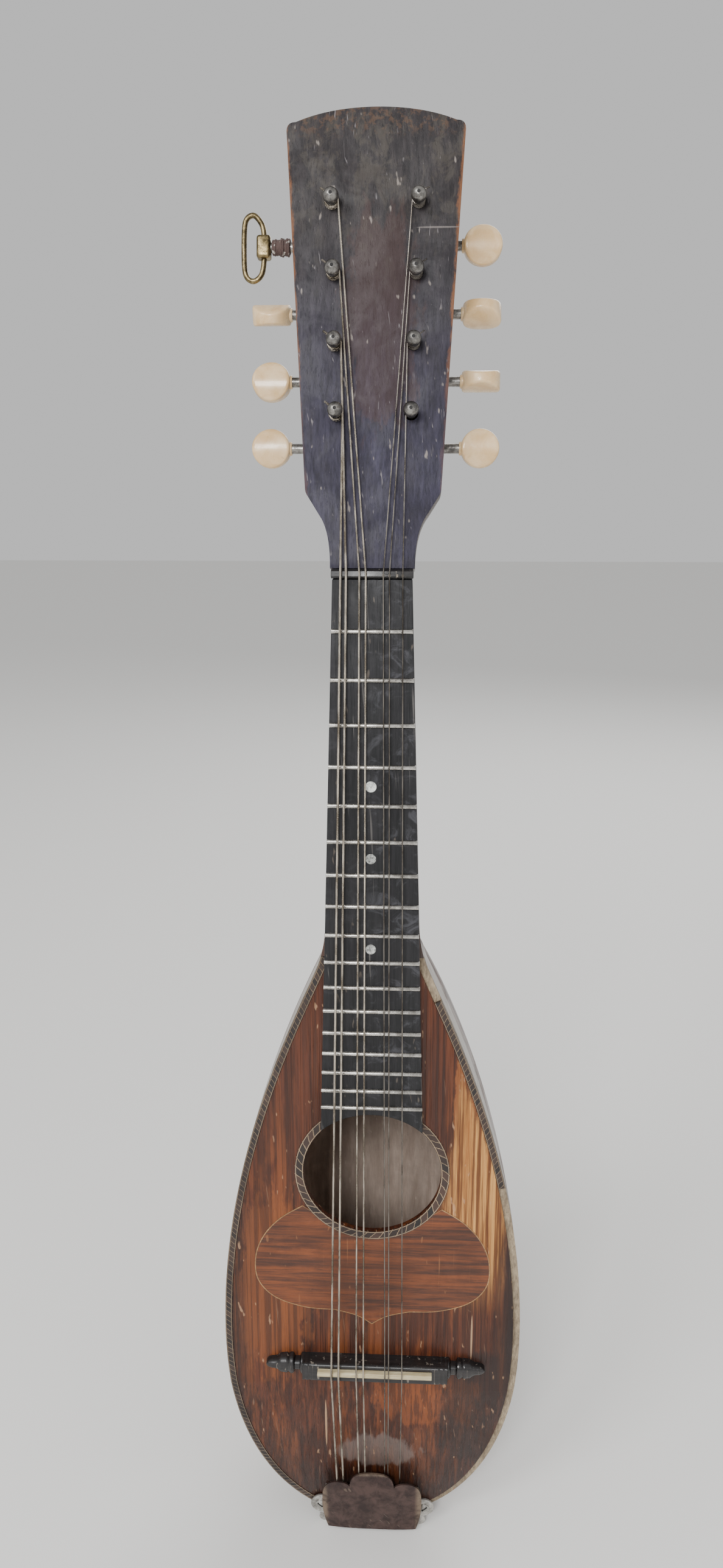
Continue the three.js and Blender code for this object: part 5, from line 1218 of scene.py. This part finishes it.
COVER_CURVES = ((((19.7, 1.2), (21.9, 7.3), (22.7, 14.5), (22, 21.6)), 12),
                (((22, 21.6), (21.3, 26.3), (19, 28.6), (15, 28.6)), 8),
                (((15, 28.6), (12.8, 28.6), (10.8, 28.2), (9.9, 26.6)), 6),
                (((9.9, 26.6), (9.4, 32.2), (7.4, 34.2), (0, 34.2)), 14))
half = []
for knots, steps in COVER_CURVES:
    half += geometry.interpolate_bezier(*in_mm(knots), steps)[1 if half else 0:]
outline = whole_loop(half)
bm = cut_plate([outline], TOP_Y - 4.9 * MM, TOP_Y - 4.1 * MM)
cuts = [((cut * 2.4 * MM, 0, 0), (1, 0, 0)) for cut in range(-9, 10)]
cuts += [((0, 0, cut * 2.5 * MM), (0, 0, 1)) for cut in range(1, 14)]
for point, facing in cuts:
    everything = bm.verts[:] + bm.edges[:] + bm.faces[:]
    bmesh.ops.bisect_plane(bm, geom=everything, dist=1e-6, plane_co=point, plane_no=facing)
for vert in bm.verts:
    across = abs(vert.co.x) / (22 * MM)
    upward = max(0.0, (vert.co.z - 20 * MM) / (14 * MM))
    vert.co.y -= 1.1 * MM * (1 - min(1.0, across) ** 3) * (1 - 0.6 * min(1.0, upward) ** 2)
lean_back(bm)
join_into(bm, barrel(-14.5 * MM, 14.5 * MM))
web = bar_along_x([(HINGE_Y - 2.9 * MM, HINGE_Z), (HINGE_Y, HINGE_Z), (HINGE_Y, HINGE_Z + BARREL_RADIUS),
                   (HINGE_Y - 2.9 * MM, HINGE_Z + BARREL_RADIUS)], -14.5 * MM, 14.5 * MM)
join_into(bm, web)
bronze, tree, shader, spot = new_material("cover_bronze")
marks = use(tree, MARKS, Vector=spot, Slant=0.7)
cloud = noise(tree, spot, 160.0, 6.0, 0.7, 0.4)
place = put(tree, "SeparateXYZ", {0: spot}).outputs
colour = tint(tree, step(tree, cloud, 0.35, 0.65), srgb(52, 39, 37), srgb(84, 66, 61))
# Painted highlight: the side edges and the top edge of the cover are painted pale, where light catches them.
glint_edge_x = step(tree, calc(tree, "ABSOLUTE", place["X"]), 0.0188, 0.0212)
glint_edge_z = step(tree, place["Z"], 0.0322, 0.0338)
rim = calc(tree, "MULTIPLY", calc(tree, "MAXIMUM", glint_edge_x, glint_edge_z), step(tree, cloud, 0.38, 0.55, 0.35, 1.0))
colour = stain(tree, colour, rim, 0.6, srgb(150, 132, 112))
colour = stain(tree, colour, marks["Scratches"], 0.5, srgb(164, 148, 130))
colour = stain(tree, colour, marks["Flecks"], 0.5, srgb(128, 112, 98))
shader.inputs["Metallic"].default_value = 0.5
attach(tree, shader, colour, step(tree, marks["Grime"], 0.0, 1.0, 0.36, 0.58), cloud, 0.0001)
finished("tailpiece_cover_sheet", bm, "tailpiece_lid", [bronze], ["tailpiece_cover"], 0.8)

# The studio: a plain pale floor, pale surroundings, four soft lamps and the camera, which looks
# slightly down on the instrument standing on its tailpiece.
bm = bmesh.new()
bmesh.ops.create_grid(bm, x_segments=1, y_segments=1, size=6.0)
floor_mesh = bpy.data.meshes.new("floor")
bm.to_mesh(floor_mesh)
bm.free()
floor = bpy.data.objects.new("floor", floor_mesh)
bpy.context.scene.collection.objects.link(floor)
floor_finish = bpy.data.materials.new("floor_pale")
floor_finish.use_nodes = True
floor_shader = floor_finish.node_tree.nodes["Principled BSDF"].inputs
floor_shader["Base Color"].default_value = srgb(236, 235, 232)
floor_shader["Roughness"].default_value = 0.85
floor_mesh.materials.append(floor_finish)
world = bpy.data.worlds.new("studio")
bpy.context.scene.world = world
world.use_nodes = True
surroundings = world.node_tree.nodes["Background"].inputs
surroundings["Color"].default_value = srgb(236, 236, 236)
surroundings["Strength"].default_value = 0.78
MIDDLE = Vector((0, 0, 0.25))
LAMPS = (("key", (-0.9, -1.2, 1.4), 0.6, 13.0), ("fill", (1.3, -1.0, 0.8), 1.2, 2.5),
         ("front", (-0.16, -0.95, 0.78), 0.25, 8.0), ("back", (0.5, 1.4, 1.3), 1.0, 14.0))
for name, place, size, power in LAMPS:
    light = bpy.data.lights.new(name, "AREA")
    light.energy, light.size = power, size
    lamp = bpy.data.objects.new(name, light)
    lamp.location = place
    lamp.rotation_euler = (MIDDLE - Vector(place)).to_track_quat("-Z", "Y").to_euler()
    bpy.context.scene.collection.objects.link(lamp)
lens = bpy.data.cameras.new("camera")
SENSOR, FOCAL_LENGTH = 36.0, 27.25
lens.sensor_fit, lens.sensor_height, lens.sensor_width = "VERTICAL", SENSOR, SENSOR
lens.lens = FOCAL_LENGTH
lens.clip_start = 0.01
camera = bpy.data.objects.new("camera", lens)
camera.location = (18.0 * MM, -446.5 * MM, 463.7 * MM)
camera.rotation_euler = [math.radians(turn) for turn in (75.26, 0.067, 2.923)]
bpy.context.scene.collection.objects.link(camera)
bpy.context.scene.camera = camera


bpy.context.view_layer.update()
